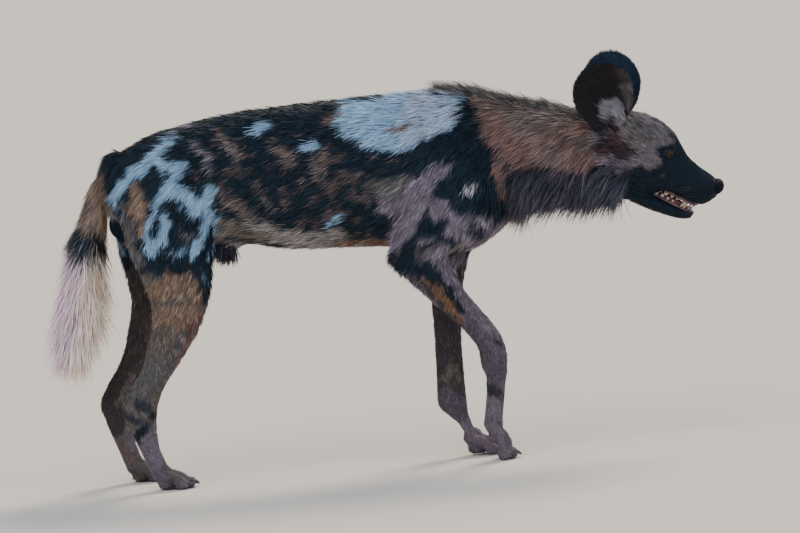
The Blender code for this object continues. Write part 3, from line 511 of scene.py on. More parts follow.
# Guides of each part: x, z, direction of the lie in x and z, hair length, depth of the coat, lift in degrees.
# The head's and the jaw's are in the head's own frame, the others in the solids'. Lengths in millimetres.
lie = {
    "torso": (
        (0.225, 0.63, -1.0, -0.15, 34, 8, 17), (0.10, 0.64, -1.0, -0.05, 30, 7, 14),
        (-0.10, 0.64, -1.0, -0.05, 26, 6, 12), (-0.30, 0.62, -1.0, -0.15, 24, 6, 12),
        (-0.43, 0.56, -0.8, -0.8, 22, 5, 12), (0.16, 0.54, -0.6, -0.8, 22, 6, 11),
        (0.14, 0.44, -0.40, -0.95, 18, 5, 10), (0.02, 0.54, -0.95, -0.35, 24, 6, 12),
        (-0.14, 0.53, -0.95, -0.40, 24, 6, 12), (-0.20, 0.43, -1.0, -0.20, 26, 6, 13),
        (-0.04, 0.40, -1.0, -0.12, 24, 6, 12), (-0.34, 0.53, -0.70, -0.70, 22, 5, 11),
        (-0.34, 0.43, -0.35, -0.95, 18, 4, 10), (-0.42, 0.46, -0.30, -0.95, 20, 4, 12),
        (0.25, 0.50, -0.35, -0.95, 30, 8, 16), (-0.25, 0.41, -0.6, -0.6, 24, 4, 16),
    ),
    "neck": (
        (0.26, 0.62, -1.0, -0.20, 38, 9, 17), (0.35, 0.60, -1.0, -0.25, 38, 9, 18),
        (0.43, 0.55, -0.9, -0.5, 34, 8, 18), (0.30, 0.53, -0.90, -0.50, 38, 9, 15),
        (0.40, 0.50, -0.80, -0.60, 38, 9, 16), (0.36, 0.44, -0.75, -0.85, 46, 9, 24),
        (0.28, 0.44, -0.75, -0.85, 44, 9, 22), (0.43, 0.45, -0.80, -0.70, 38, 8, 22),
    ),
    "head": (
        (0.13, 0.00, -1.0, 0.05, 5, 0.8, 10), (0.08, 0.02, -1.0, 0.10, 7, 1.0, 10),
        (0.045, 0.045, -1.0, 0.25, 9, 1.6, 13), (0.00, 0.055, -1.0, 0.10, 15, 3.0, 15),
        (-0.07, 0.03, -1.0, -0.10, 24, 6, 16), (-0.05, -0.02, -1.0, -0.25, 22, 5, 15),
        (0.00, -0.02, -1.0, -0.15, 15, 3.0, 13), (-0.05, -0.07, -1.0, -0.45, 28, 6, 17),
        (0.04, -0.02, -1.0, -0.10, 8, 1.4, 11),
    ),
    "lower_jaw": (
        (0.12, -0.065, -1.0, 0.0, 5, 0.8, 10), (0.06, -0.075, -1.0, -0.05, 9, 1.4, 13),
        (0.00, -0.08, -1.0, -0.15, 18, 4, 16),
    ),
    "fore_leg": (
        (0.15, 0.34, -0.35, -1.0, 15, 3, 10), (0.17, 0.25, 0.05, -1.0, 11, 2.2, 9),
        (0.20, 0.15, 0.0, -1.0, 9, 1.8, 9),
    ),
    "hind_leg": (
        (-0.32, 0.38, -0.25, -1.0, 17, 3.5, 10), (-0.33, 0.30, -0.35, -1.0, 15, 3, 10),
        (-0.40, 0.18, -0.35, -1.0, 11, 2.2, 9), (-0.42, 0.13, 0.10, -1.0, 9, 1.8, 9),
    ),
    "fore_foot": ((0.20, 0.12, 0.10, -1.0, 8, 1.4, 9), (0.22, 0.03, 0.85, -0.5, 6, 1.0, 9)),
    "hind_foot": ((-0.41, 0.08, 0.25, -1.0, 8, 1.4, 9), (-0.36, 0.02, 0.9, -0.45, 6, 1.0, 9)),
    "tail": (
        (-0.42, 0.57, -0.55, -0.85, 26, 1, 14), (-0.455, 0.50, -0.40, -0.95, 36, 0.8, 20),
        (-0.485, 0.43, -0.30, -1.0, 56, 0.5, 32), (-0.495, 0.35, -0.28, -1.0, 78, 0.3, 36),
        (-0.515, 0.28, -0.22, -1.0, 72, 0.2, 30), (-0.530, 0.24, -0.15, -1.0, 52, 0.1, 18),
    ),
    "sheath": ((-0.25, 0.40, -0.35, -1.0, 30, 1, 20),),
}
# the same for small parts: length, depth and lift alone
plain = {"ear": (8.0, 0.35, 14.0), "sack": (7.0, 0.6, 10.0), "eye": (5.0, 1.3, 8.0), "nose": (3.0, 1.2, 5.0)}
# share by which each part's facets are eased away
easing = {
    "torso": 0.5, "neck": 0.5, "tail": 0.4, "fore_leg": 0.35, "hind_leg": 0.35, "ear": 0.12, "head": 0.10,
    "lower_jaw": 0.05,
}
regionNames = (
    "torso", "neck", "head", "lower_jaw", "ear", "fore_leg", "hind_leg", "fore_foot", "hind_foot", "tail", "sheath",
    "eye", "nose",
)


def regionOf(nodeName):
    found = [name for name in regionNames if nodeName.startswith(name)]
    return found[0] if found else nodeName


def guided(points, rows):
    # blend of the guides by nearness, as columns of flow x, flow z, length, depth, lift
    table = np.array(rows, float)
    away = ((points[:, None] - table[None, :, :2]) ** 2).sum(2) + 1e-5
    weight = away ** -1.5
    weight /= weight.sum(1, keepdims=True)
    return weight @ table[:, 2:]


class Surface:
    # the skin's points, faces and every quality that grows on it
    def __init__(self, obj):
        self.obj = obj
        self.points = readPoints(obj.data)
        self.faces = readTriangles(obj.data)
        ends = np.concatenate([self.faces[:, [0, 1]], self.faces[:, [1, 2]], self.faces[:, [2, 0]]])
        self.ends = np.concatenate([ends, ends[:, ::-1]])
        self.degree = np.bincount(self.ends[:, 0], minlength=len(self.points))[:, None] + 1e-9
        self.refresh()

    def refresh(self):
        a, b, c = (self.points[self.faces[:, k]] for k in range(3))
        cross = np.cross(b - a, c - a)
        self.areas = np.linalg.norm(cross, axis=1) / 2
        total = np.zeros_like(self.points)
        for k in range(3):
            for axis in range(3):
                total[:, axis] += np.bincount(self.faces[:, k], cross[:, axis], len(self.points))
        self.normals = unit(total)

    def neighbours(self, values):
        out = np.empty_like(values)
        for axis in range(values.shape[1]):
            out[:, axis] = np.bincount(self.ends[:, 0], values[self.ends[:, 1], axis], len(values))
        return out / self.degree

    def smooth(self, values, rounds, share=0.6):
        for _ in range(rounds):
            values = values + (self.neighbours(values) - values) * share
        return values

    def store(self):
        self.obj.data.vertices.foreach_set("co", self.points.astype(np.float32).ravel())
        self.obj.data.update()


def nearestRegion(points):
    rows = []
    for name, obj in nodes.items():
        if name == "tongue":
            continue
        found = readPoints(obj.data)
        faces = readTriangles(obj.data)
        centres = found[faces].mean(1)
        code = regionNames.index(regionOf(name))
        for block in (np.unique(found, axis=0), centres):
            rows.append(np.column_stack([block, np.full(len(block), code)]))
    rows = np.vstack(rows)
    tree = KDTree(len(rows))
    for k, row in enumerate(rows):
        tree.insert(row[:3], k)
    tree.balance()
    return np.array([int(rows[tree.find(p)[1], 3]) for p in points])


surface = Surface(skinPiece)
region = nearestRegion(surface.points)
sackMiddle, sackHalf = (np.array(row) for row in skin["sack"])
onSack = np.linalg.norm((surface.points - sackMiddle - offset) / sackHalf, axis=1) < 1.12
region[onSack] = regionNames.index("torso")
isPart = {name: region == k for k, name in enumerate(regionNames)}
drawn = surface.points - offset  # in the frame the solids were drawn in
inHead = apply(headPlace.inverted(), surface.points)

turn = np.array(headPlace)[:3, :3]
flow = np.zeros_like(surface.points)
flow[:, 0] = -1.0
growth = np.tile(np.array([[10.0, 1.0, 12.0]]), (len(flow), 1))
for name, rows in lie.items():
    mask = isPart[name]
    local = inHead if name in ("head", "lower_jaw") else drawn
    found = guided(local[mask][:, [0, 2]], rows)
    way = np.column_stack([found[:, 0], np.zeros(len(found)), found[:, 1]])
    if name in ("head", "lower_jaw"):
        way = way @ turn.T
    flow[mask] = unit(way)
    growth[mask] = found[:, 2:]
for s in (-1, 1):
    flow[isPart["ear"] & (inHead[:, 1] * s > 0)] = np.array(earAxes(s)[0]) @ turn.T
growth[isPart["ear"]] = plain["ear"]
growth[onSack] = plain["sack"]
for name in ("eye", "nose"):
    growth[isPart[name]] = plain[name]
print("regions found")

# the solids' facets are eased away, most on the body, much less on head, ears and feet
ease = np.zeros(len(region))
for name, share in easing.items():
    ease[isPart[name]] = share
ease = surface.smooth(ease[:, None], 6)
for _ in range(skin["easing"]):
    surface.points += (surface.neighbours(surface.points) - surface.points) * ease
growth = surface.smooth(growth, skin["blending"])
flow = unit(surface.smooth(flow, skin["blending"]))
surface.refresh()
surface.points -= surface.normals * growth[:, [1]] * 0.001

# furrows between the toes, and room for the eyeballs
toes = {
    # middle of each foot, and how far its toes reach ahead of it
    "balls": (
        ((-0.381, -0.076, 0.028), 0.040), ((-0.431, 0.076, 0.028), 0.040),
        ((0.199, -0.058, 0.060), 0.024), ((0.164, 0.040, 0.030), 0.040),
    ),
    "spread": (-0.0215, -0.0078, 0.0078, 0.0215), "shorter": (0.0125, 0.0, 0.0, 0.0125),
    "furrows": (-0.0148, 0.0, 0.0148), "furrow": 0.0042, "width": 0.0024, "hair": 4.2,
    "tip": (0.0120, 0.0094, 0.0104), "tipHeight": 0.0096, "tipWidth": 0.0073, "tipBack": 0.004,
    # box round a foot's middle that the furrows stay in: half width, behind, ahead, above
    "room": (0.035, -0.012, 0.07, 0.012),
}
socketRim, socketDepth = 0.0012, 0.0018  # the skin this near an eyeball goes this deep inside it
for ball, reach in toes["balls"]:
    rel = drawn - ball
    wide, behind, ahead, above = toes["room"]
    mask = (isPart["fore_foot"] | isPart["hind_foot"]) & (np.abs(rel[:, 1]) < wide)
    mask &= (rel[:, 0] > behind) & (rel[:, 0] < ahead) & (rel[:, 2] < above)
    reached = np.clip((rel[mask, 0] + 0.010) / 0.018, 0, 1)
    for gap in toes["furrows"]:
        away = rel[mask, 1] - gap * (0.8 + 0.2 * reached)
        depth = toes["furrow"] * reached * np.exp(-((away / toes["width"]) ** 2))
        surface.points[mask] -= surface.normals[mask] * depth[:, None]
    growth[mask, 0] = growth[mask, 0] * (1 - reached) + toes["hair"] * reached
    for spread, short in zip(toes["spread"], toes["shorter"]):  # the claws are pieces of their own
        tip = np.array((ball[0] + reach - short, ball[1] + spread, toes["tipHeight"]))
        out = drawn - tip
        size = np.linalg.norm(out / toes["tip"], axis=1)
        long = mask & (out[:, 0] > toes["tipBack"]) & (size > 1) & (np.abs(out[:, 1]) < toes["tipWidth"])
        surface.points[long] = (tip + out[long] / size[long, None]) + offset
surface.points[:, 2] = np.maximum(surface.points[:, 2], floorGap)
for s in (-1, 1):
    seat = np.array(headPlace @ Vector(eyeSeat(s)))
    away = surface.points - seat
    size = np.linalg.norm(away, axis=1)
    close = size < eyeLook["radius"] + socketRim
    surface.points[close] = seat + away[close] / size[close, None] * (eyeLook["radius"] - socketDepth)
surface.refresh()
surface.store()
print("skin set in by the coat's depth")

# --- markings: base colour of each part, then soft-edged strokes in the order they are laid

# the dark hair colours, the blacks, the mask and the ears' backs, carry a blue painted sky reflection over their own
# dark colour; the whites carry a blue painted sky light over their own pale colour
palette = {
    "black": (0.007, 0.013, 0.023), "char": (0.045, 0.045, 0.055), "white": (0.39, 0.61, 0.88),
    "milk": (0.66, 0.64, 0.70), "frost": (0.50, 0.61, 0.80), "tan": (0.30, 0.205, 0.140),
    "dun": (0.185, 0.140, 0.125), "brown": (0.105, 0.075, 0.070), "fawn": (0.235, 0.135, 0.115),
    "lilac": (0.235, 0.190, 0.245), "plum": (0.150, 0.112, 0.155), "grey": (0.205, 0.178, 0.206),
    "ash": (0.160, 0.145, 0.145), "cream": (0.36, 0.32, 0.31), "orange": (0.26, 0.14, 0.08),
    "rust": (0.048, 0.020, 0.022), "sand": (0.190, 0.155, 0.130), "mask": (0.005, 0.013, 0.025),
    "pink": (0.80, 0.62, 0.72), "straw": (0.95, 0.78, 0.64), "skySheenNavy": (0.010, 0.022, 0.050),
    "bark": (0.074, 0.058, 0.058), "fluff": (0.42, 0.40, 0.50), "earIn": (0.020, 0.017, 0.019),
    "earLitFront": (0.085, 0.068, 0.060), "gum": (0.11, 0.055, 0.065),
}
# strokes: a colour, then the stops of its path as x, height on the picture plane and half width, in millimetres
blotches = {
    "body": (
        "black -294,630,52 -309,553,70 -332,493,60 -347,424,52",
        "black -431,563,38 -406,447,46 -368,382,24 -316,372,18 -316,316,14",
        "black -234,608,52 -76,611,46 73,502,70 142,487,60 187,501,42",
        "black -224,519,70 -105,482,60 -4,429,35 30,418,18; lilac -355,629,5 -334,625,7 -316,618,4",
        "grey -313,592,5 -302,575,7 -293,557,7 -286,538,5; brown -315,530,5 -321,538,4",
        "dun -266,607,5 -257,585,10 -238,562,10 -228,555,5; dun -180,582,7 -168,565,9 -147,544,10",
        "dun -76,608,10 -56,615,10; dun -91,551,9 -97,532,10 -105,514,5; brown -71,541,5 -57,547,5",
        "brown -240,541,5 -236,529,5; brown -59,515,7 -39,508,9; brown -92,490,5 -72,497,10; brown -13,490,9 -21,471,7",
        "brown -42,470,5 -32,464,5; brown -91,441,7 -73,446,7; brown -274,513,9 -267,491,7",
        "brown -204,514,5 -212,500,5; sand -204,486,4 -193,471,4 -184,456,2; dun -259,482,10 -243,470,12 -226,454,10",
        "brown -166,486,5 -158,471,4; brown -137,515,4 -127,502,4; brown -120,468,4 -108,481,4",
        "brown -48,486,5 -52,476,4; white -210,597,5 -199,603,9 -185,607,5; white -123,568,7 -112,572,9",
        "sand -280,450,7 -249,439,7 -222,420,5; black -271,425,5 -220,408,7 -172,397,5",
        "cream -210,440,7 -180,420,12 -138,404,14 -97,404,12 -72,418,5; cream -238,448,5 -211,432,5",
        "white -95,427,5 -81,434,5 -66,440,4; orange -70,398,5 -41,401,5 0,394,7; black -40,422,16 21,410,18",
        "white -36,622,23 -42,594,21 2,601,44 47,602,52 91,614,46 129,627,23 155,640,14",
        "white -5,574,23 43,559,18 67,553,9; white 89,583,23 115,584,14 132,579,5; frost 69,613,24 99,596,32 57,561,14",
        "frost 99,640,16 133,628,18 119,591,18 100,575,10; black -124,656,14 -46,649,9 24,645,5; tan 29,583,5 45,583,9",
        "ash 53,593,5 64,599,4; ash 11,481,16 36,479,18 58,491,10; lilac 12,453,16 25,437,10",
        "lilac 116,510,12 101,501,14 78,482,18 60,456,21 45,422,21 25,395,16 13,379,9",
        "lilac 96,442,16 121,415,24 158,391,24 191,402,16 206,418,9; lilac 79,377,21 112,346,21 130,312,18",
        "lilac 40,452,14 86,457,10; black 109,472,19 143,459,24 174,456,28 197,436,14",
        "black 74,393,7 89,406,10 106,418,9; black 152,398,10 167,395,10; brown 158,396,4; black 195,417,9 206,422,7",
        "black 105,388,4 87,385,4 65,376,5 45,362,5 32,351,5; bark 57,363,10 70,349,9",
        "black 1,364,7 21,354,5 45,346,7 72,335,12 89,323,9; bark 121,354,10 131,361,7",
        "milk 147,465,2 158,466,4 167,471,4; orange 207,392,4 178,373,5 152,361,4",
        "white -347,605,7 -368,588,10 -387,568,12 -409,551,12 -433,537,9 -452,523,9 -463,505,5 -461,485,5 -454,465,4",
        "lilac -352,602,5 -338,610,5; white -382,563,10 -365,552,9 -348,554,9 -332,558,4",
        "white -345,540,9 -360,519,12 -375,504,10 -387,491,7 -392,474,5 -396,460,4 -405,443,4 -410,426,5 "
        "-406,412,5 -399,404,4",
        "white -400,418,9 -387,423,7 -379,434,4 -374,450,5 -376,467,5",
        "white -362,512,12 -345,507,14 -329,488,14 -314,478,16 -299,489,10 -294,508,7 -294,522,4",
        "white -304,466,12 -308,446,5 -313,428,7 -325,415,10 -331,400,9 -334,386,5",
        "white -289,465,4 -291,437,2 -295,415,2 -306,389,2; white -379,397,2 -358,401,2 -348,407,2",
        "white -314,376,4 -312,358,5 -308,342,4; ash -443,494,5 -439,459,7 -435,423,9 -427,393,10",
        "tan -419,519,10 -420,490,14 -419,462,10 -418,436,5; brown -348,446,4 -339,450,2; ash -345,428,4 -327,426,2",
        "tan -401,341,19 -376,348,24 -345,343,19 -330,317,9; tan -402,297,19 -375,286,24 -356,299,21",
        "black -314,383,9 -308,351,5 -318,316,5; ash -424,247,21 -389,244,24",
        "black -420,575,16 -448,568,16 -463,558,10; black -470,477,16 -468,442,16",
    ),
    "neck": (
        "char 159,647,9 207,627,12 275,609,10 344,591,10; fawn 206,583,14 218,558,18 230,532,18",
        "fawn 207,506,10 210,481,10 209,456,9; sand 221,592,7 265,589,5; dun 290,569,10 351,567,9",
        "brown 348,539,9 373,519,12 392,532,9; brown 314,525,5 337,551,5; bark 248,499,9 297,491,7",
        "black 240,485,10 299,472,19 385,460,24 454,439,32; black 243,439,16 313,433,24 452,414,28",
        "bark 224,466,9 249,462,10 281,473,9; bark 243,438,9 270,441,7",
    ),
    "head": (
        "ash -51,57,12 -29,45,14 -25,23,10; char -13,65,5 20,62,5 47,56,5; char -80,7,12 -67,13,10",
        "rust -74,15,7 -58,18,9 -50,24,7; rust -60,-15,16 -46,-4,19 -21,-6,14; plum -34,-41,10 -14,-34,12 4,-32,7",
        "dun 40,-6,7 24,-18,5; mask -11,-76,23 24,-62,26 62,-48,33; mask 15,-39,12 23,-23,12 38,-23,12 46,-7,10",
        "mask 53,49,7 52,33,14 66,7,21 97,-8,32 128,0,28; mask 77,37,14 115,25,21 145,20,24 157,19,18",
        "mask 38,28,10 54,29,16 55,13,14; mask 86,-45,14 113,-16,14; mask 105,7,12 133,6,10",
    ),
    "tail": (
        "black -438,587,24 -462,575,21 -481,559,12 -496,543,7 -510,523,4",
        "tan -475,541,12 -489,511,18 -497,480,21 -496,444,19; dun -496,508,4 -502,473,5 -502,441,5",
        "black -565,438,9 -546,456,14 -529,447,14 -513,430,14 -493,416,14 -478,406,9; char -542,424,10 -522,408,7",
    ),
    "nearHindLeg": (
        "sand -397,257,26 -411,233,23; ash -427,207,24 -448,166,24; fawn -332,290,9 -354,246,9 -378,206,5",
        "char -450,152,10 -430,136,9; char -476,133,7 -453,116,7; black -431,119,4 -410,124,5",
        "black -439,109,5 -455,93,7 -454,84,4; lilac -423,94,10 -421,58,14 -438,42,14",
        "lilac -443,25,21 -401,0,24 -367,-3,18; ash -417,26,7 -392,10,9",
    ),
    "farHindLeg": (
        "bark -455,395,21 -441,327,28 -451,258,24 -473,204,21 -506,154,21 -503,108,18",
        "brown -422,304,7 -431,247,9 -448,212,7; dun -459,202,5 -476,169,7 -492,149,5; dun -488,78,12 -480,46,14",
        "ash -464,24,21 -430,14,18",
    ),
    "nearForeLeg": (
        "black 66,339,12 92,314,10 110,284,10 124,258,7; orange 64,318,5 86,295,9 105,265,7 117,241,4",
        "bark 31,342,5 57,319,4 82,281,4 122,222,5 152,184,5; lilac 114,328,14 141,276,14 172,224,14",
        "plum 164,183,12 183,153,14 175,124,10; char 178,203,5 185,195,5; char 156,124,7 176,113,10",
        "lilac 163,85,19 173,35,24 179,6,21",
    ),
    "farForeLeg": (
        "bark 90,298,24 98,227,24 101,181,21; sand 96,168,5 89,144,7; sand 105,164,4 110,142,5",
        "plum 83,120,12 99,97,14 109,72,14; lilac 121,53,16 143,23,21",
    ),
}


def tint(name):
    return np.array(palette[name])


def blend(colours, mask, share, name):
    colours[mask] = colours[mask] * (1 - share[:, None]) + tint(name) * share[:, None]


def ripple(points, scale, seed, count=9):
    # smooth repeatable noise, about -1 to 1
    draw = np.random.default_rng(seed)
    total = np.zeros(len(points))
    for _ in range(count):
        way = unit(draw.normal(size=(1, 3)))[0] * draw.uniform(0.6, 1.7) * scale
        total += np.sin(points @ way + draw.uniform(0, 6.28))
    return total / math.sqrt(count / 2)


def ripples(points, scale, seed):
    # one ripple for each axis
    return np.column_stack([ripple(points, scale, seed + k) for k in range(3)])


def lay(colours, places, rows, mask, soft=0.0020):
    # strokes of changing width over the chosen points
    here = places[mask]
    for stroke in "; ".join(rows).split("; "):
        name, *stops = stroke.split()
        stops = np.array([stop.split(",") for stop in stops], float) / 1000
        gap = np.full(len(here), 9.0)
        for start, end in zip(stops, stops[1:] if len(stops) > 1 else stops):
            span = end[:2] - start[:2]
            t = np.clip((here - start[:2]) @ span / (span @ span + 1e-9), 0, 1)
            away = np.linalg.norm(here - start[:2] - t[:, None] * span, axis=1)
            gap = np.minimum(gap, away - start[2] - t * (end[2] - start[2]))
        blend(colours, mask, np.clip(0.5 - gap / (2 * soft), 0, 1), name)


pattern = {
    "ragged": ((150, 1, 0.0024), (520, 4, 0.0014)),  # edges of the strokes: fineness, seed, size
    "mottle": 60, "farSlide": 0.055, "farStart": 0.012, "farEnd": 0.12,
    "belly": (-0.55, 0.37), "jawBack": -0.005, "thighTop": 0.36, "muzzle": 0.080, "socket": 0.0165,
    "flecks": {"middle": -0.12, "reach": 0.17, "fineness": 300, "rarity": 1.25},
    # rim: where the painted light on the front margin of the ears' inner face starts, and how far it spreads
    "brushTop": 0.435, "rootLevel": 0.44, "rootShade": 0.6, "rim": (0.45, 0.35), "innerEar": 0.15,
    # box of the gums in the head's frame, and half their width above and below
    "gums": (0.056, -0.057, -0.030, 0.0175, 0.0150),
}


def earSide(side, own, normals, ears, least):
    # points of one ear, those of its inner face, and how high and how far forward each one is
    up, facing, front = (np.array(axis) for axis in earAxes(side))
    mine = ears & (own[:, 1] * side > 0)
    rel = own - np.array(ear["base"]) * (1, side, 1)
    inner = mine & ((normals @ turn) @ facing > least)
    return mine, inner, rel @ up / ear["height"], rel @ front / (ear["width"] / 2)


def onPicture(points, mirrored=False):
    rise = math.radians(view["elevation"])
    across = -np.abs(points[:, 1]) if mirrored else points[:, 1]
    return np.column_stack([points[:, 0], points[:, 2] * math.cos(rise) + across * math.sin(rise)])


def markings(points, normals, codes):
    part = {name: codes == k for k, name in enumerate(regionNames)}
    coarse, fine = (ripples(points, scale, seed) * size for scale, seed, size in pattern["ragged"])
    moved = points + (coarse + fine)
    plane, mirrored = onPicture(moved), onPicture(moved, True)
    own = apply(headPlace.inverted(), moved)
    near = moved[:, 1] < 0
    # the base colour: dark hair with its blue painted sky reflection
    colours = np.tile(tint("black"), (len(points), 1))
    mottled = np.clip(ripple(points, pattern["mottle"], 7)[:, None] * 0.5 + 0.5, 0, 1)
    face = part["head"] | part["nose"] | part["eye"]
    facing, level = pattern["belly"]
    belly = part["torso"] & (normals[:, 2] < facing) & (points[:, 2] > level)
    colours[part["lower_jaw"]] = tint("mask")
    for mask, first, second in (
        (belly, "cream", "sand"), (part["neck"], "fawn", "dun"), (face, "grey", "ash"),
        (part["lower_jaw"] & (own[:, 0] < pattern["jawBack"]), "char", "black"),
        (part["fore_leg"] & near, "lilac", "plum"), (part["fore_leg"] & ~near, "brown", "bark"),
        (part["hind_leg"] & near, "ash", "sand"), (part["hind_leg"] & ~near, "bark", "brown"),
        (part["fore_foot"], "lilac", "plum"), (part["hind_foot"], "lilac", "ash"), (part["tail"], "pink", "milk"),
    ):
        colours[mask] = tint(first) * mottled[mask] + tint(second) * (1 - mottled[mask])
    trunk, legs = part["torso"] | part["neck"], part["hind_leg"] | part["hind_foot"]
    arms = part["fore_leg"] | part["fore_foot"]
    lay(colours, plane, blotches["body"], near & (trunk | legs | arms))
    # the far flank has its own pattern, which meets the near one along the middle
    slide = np.clip((np.abs(moved[:, 1]) - pattern["farStart"]) / 0.04, 0, 1)
    slide *= np.clip((pattern["farEnd"] - moved[:, 0]) / 0.12, 0, 1)
    far = mirrored + np.column_stack([pattern["farSlide"] * slide, 0 * slide])
    lay(colours, far, blotches["body"], trunk & ~near)
    lay(colours, mirrored, blotches["neck"], trunk)
    fleck = pattern["flecks"]  # small brown spots on the black of the flank
    flecks = trunk & (np.abs(moved[:, 0] - fleck["middle"]) < fleck["reach"])
    flecks &= (colours.max(1) < 0.04) & (normals[:, 2] < 0.5)
    flecks &= ripple(points, fleck["fineness"], 31) > fleck["rarity"]
    colours[flecks] = tint("brown")
    for name, places, mask in (
        ("head", own[:, [0, 2]], face), ("nearHindLeg", plane, legs & near & (plane[:, 1] < pattern["thighTop"])),
        ("farHindLeg", plane, legs & ~near), ("nearForeLeg", plane, arms & near), ("farForeLeg", plane, arms & ~near),
    ):
        lay(colours, places, blotches[name], mask)
    brush = part["tail"] & (moved[:, 2] < pattern["brushTop"])
    colours[brush] = tint("pink")
    blend(colours, brush, np.clip(0.5 + normals[brush, 0] * 0.9, 0, 1), "straw")
    lay(colours, mirrored, blotches["tail"], part["tail"])
    dark = part["tail"] & (normals[:, 0] < -0.5) & (points[:, 2] > pattern["rootLevel"])
    colours[dark] *= pattern["rootShade"]
    sockets = np.zeros(len(own), bool)
    start, reach = pattern["rim"]
    for s in (-1, 1):
        mine, inner, _, ahead = earSide(s, own, normals, part["ear"], pattern["innerEar"])
        # backs of the ears: dark hair with a blue painted sky reflection
        colours[mine] = tint("skySheenNavy")
        # inner face of each ear: its own dark colour, lightened towards the front margin by painted light where that
        # margin is lit
        colours[inner] = tint("earIn")
        blend(colours, inner, np.clip((ahead[inner] - start) / reach, 0, 1), "earLitFront")
        sockets |= np.linalg.norm(own - eyeSeat(s), axis=1) < pattern["socket"]
    # inside of the mouth, between the black lips
    back, bottom, top, upper, lower = pattern["gums"]
    gums = (part["head"] | part["lower_jaw"]) & (own[:, 0] > back) & (own[:, 2] < top) & (own[:, 2] > bottom)
    gums &= (np.abs(own[:, 1]) < np.where(part["head"], upper, lower)) & (np.abs(normals @ turn[:, 2]) > 0.6)
    # the mask: dark hair and skin with a blue painted sky reflection
    colours[(part["head"] | part["nose"]) & (own[:, 0] > pattern["muzzle"])] = tint("mask")
    colours[gums] = tint("gum")
    colours[sockets & (part["head"] | part["eye"])] = tint("mask")
    return colours


colours = markings(surface.points, surface.normals, region)
# bare places: nose, eyes, the lips' inner side; hair grows thin inside the ears
bare = {
    "nose": 0.1385, "aroundEye": 0.0008, "earThickness": 0.35, "earLength": 6.0,
    # hollow of the mouth in the head's frame: back, bottom, top, half width, and where its roof and floor end
    "mouth": (0.054, -0.058, -0.030, 0.0235), "roof": -0.046, "floor": -0.044, "facing": 0.45,
}
ahead, aside, level = inHead[:, 0], np.abs(inHead[:, 1]), inHead[:, 2]
upright = surface.normals @ turn[:, 2]
back, bottom, top, wide = bare["mouth"]
insideMouth = (isPart["head"] | isPart["lower_jaw"]) & (ahead > back) & (aside < wide) & (level < top) & (level > bottom)
roof = (upright < -bare["facing"]) & (level > bare["roof"])
bed = (upright > bare["facing"]) & (level < bare["floor"])
insideMouth &= roof | bed
bald = (isPart["nose"] & (ahead > bare["nose"])) | insideMouth
thick = np.ones(len(region))
for s in (-1, 1):
    bald |= np.linalg.norm(inHead - eyeSeat(s), axis=1) < eyeLook["radius"] + bare["aroundEye"]
    inner = earSide(s, inHead, surface.normals, isPart["ear"], pattern["innerEar"])[1]
    thick[inner] = bare["earThickness"]
    growth[inner, 0] = bare["earLength"]
print("markings laid")

# --- finishes of skin and coat


def skinFinish():
    f = Finish("skin")
    base = f.attribute("markings")
    wet = f.attribute("wet", "Fac")
    speckle = f.noise(420, 2)
    shade = f.mix(f.step(speckle, 0.3, 0.7), base, f.mix(1.0, base, rgb(0.66, 0.60, 0.60), "MULTIPLY"))
    relief = f.bump(f.noise(700, 3) * 0.6 + f.noise(190, 2) * 0.4, 0.35, 0.0012)
    gloss = f.step(wet, 0.0, 1.0, 0.72, 0.35)
    return f.close(Base_Color=shade, Roughness=gloss, Specular_IOR_Level=0.25, Normal=relief)


def coatFinish():
    f = Finish("coat")
    # the blue specular tint is a painted sky reflection in the coat's sheen
    return f.close(
        Base_Color=f.attribute("markings"), Roughness=0.52, Sheen_Weight=0.05, Sheen_Roughness=0.4,
        Specular_IOR_Level=0.40, Specular_Tint=rgb(0.45, 0.72, 1.0),
    )


skinMaterial, coatMaterial = skinFinish(), coatFinish()


def paint(obj, colours):
    layer = obj.data.color_attributes.new("markings", "FLOAT_COLOR", "POINT")
    table = np.ones((len(colours), 4), np.float32)
    table[:, :3] = colours
    layer.data.foreach_set("color", table.ravel())


skinPiece.data.materials.clear()
skinPiece.data.materials.append(skinMaterial)
# painted shade on the skin where hair stands over it
hairShade = np.where(bald | isPart["tail"], 1.0, 0.5)  # darker where hair stands over it
paint(skinPiece, colours * hairShade[:, None])
wetLayer = skinPiece.data.attributes.new("wet", "FLOAT", "POINT")
wetLayer.data.foreach_set("value", insideMouth.astype(np.float32))

# --- coat: tufts of thin blades, in one piece for each part of the body

coat = {
    "blades": 3, "patch": 0.003, "seed": 4, "splay": 0.20, "bow": 0.38, "sag": 0.25, "lowest": 0.0006,
    # tone of the painted shade at the root and of the painted light at the tip, and how much tufts and blades differ
    "rootShadeTone": 0.40, "brushRootShadeTone": 0.8, "tipLightTone": 1.22, "tuftTone": 0.26, "bladeTone": 0.20,
    # piece: parts, side of the body, tufts, rows of each blade, its width as a share of its length
    "pieces": {
        "coatFlankRight": (("torso",), -1, 22000, 2, 0.050),
        "coatFlankLeft": (("torso",), 1, 18500, 2, 0.056),
        "coatNeck": (("neck",), 0, 12500, 3, 0.036),
        "coatHead": (("head", "lower_jaw"), 0, 21500, 2, 0.075),
        "coatEars": (("ear",), 0, 12000, 2, 0.080),
        "coatForeLegs": (("fore_leg", "fore_foot"), 0, 17500, 2, 0.085),
        "coatHindLegs": (("hind_leg", "hind_foot"), 0, 18500, 2, 0.080),
        "coatTail": (("tail",), 0, 9300, 4, 0.024),
    },
}


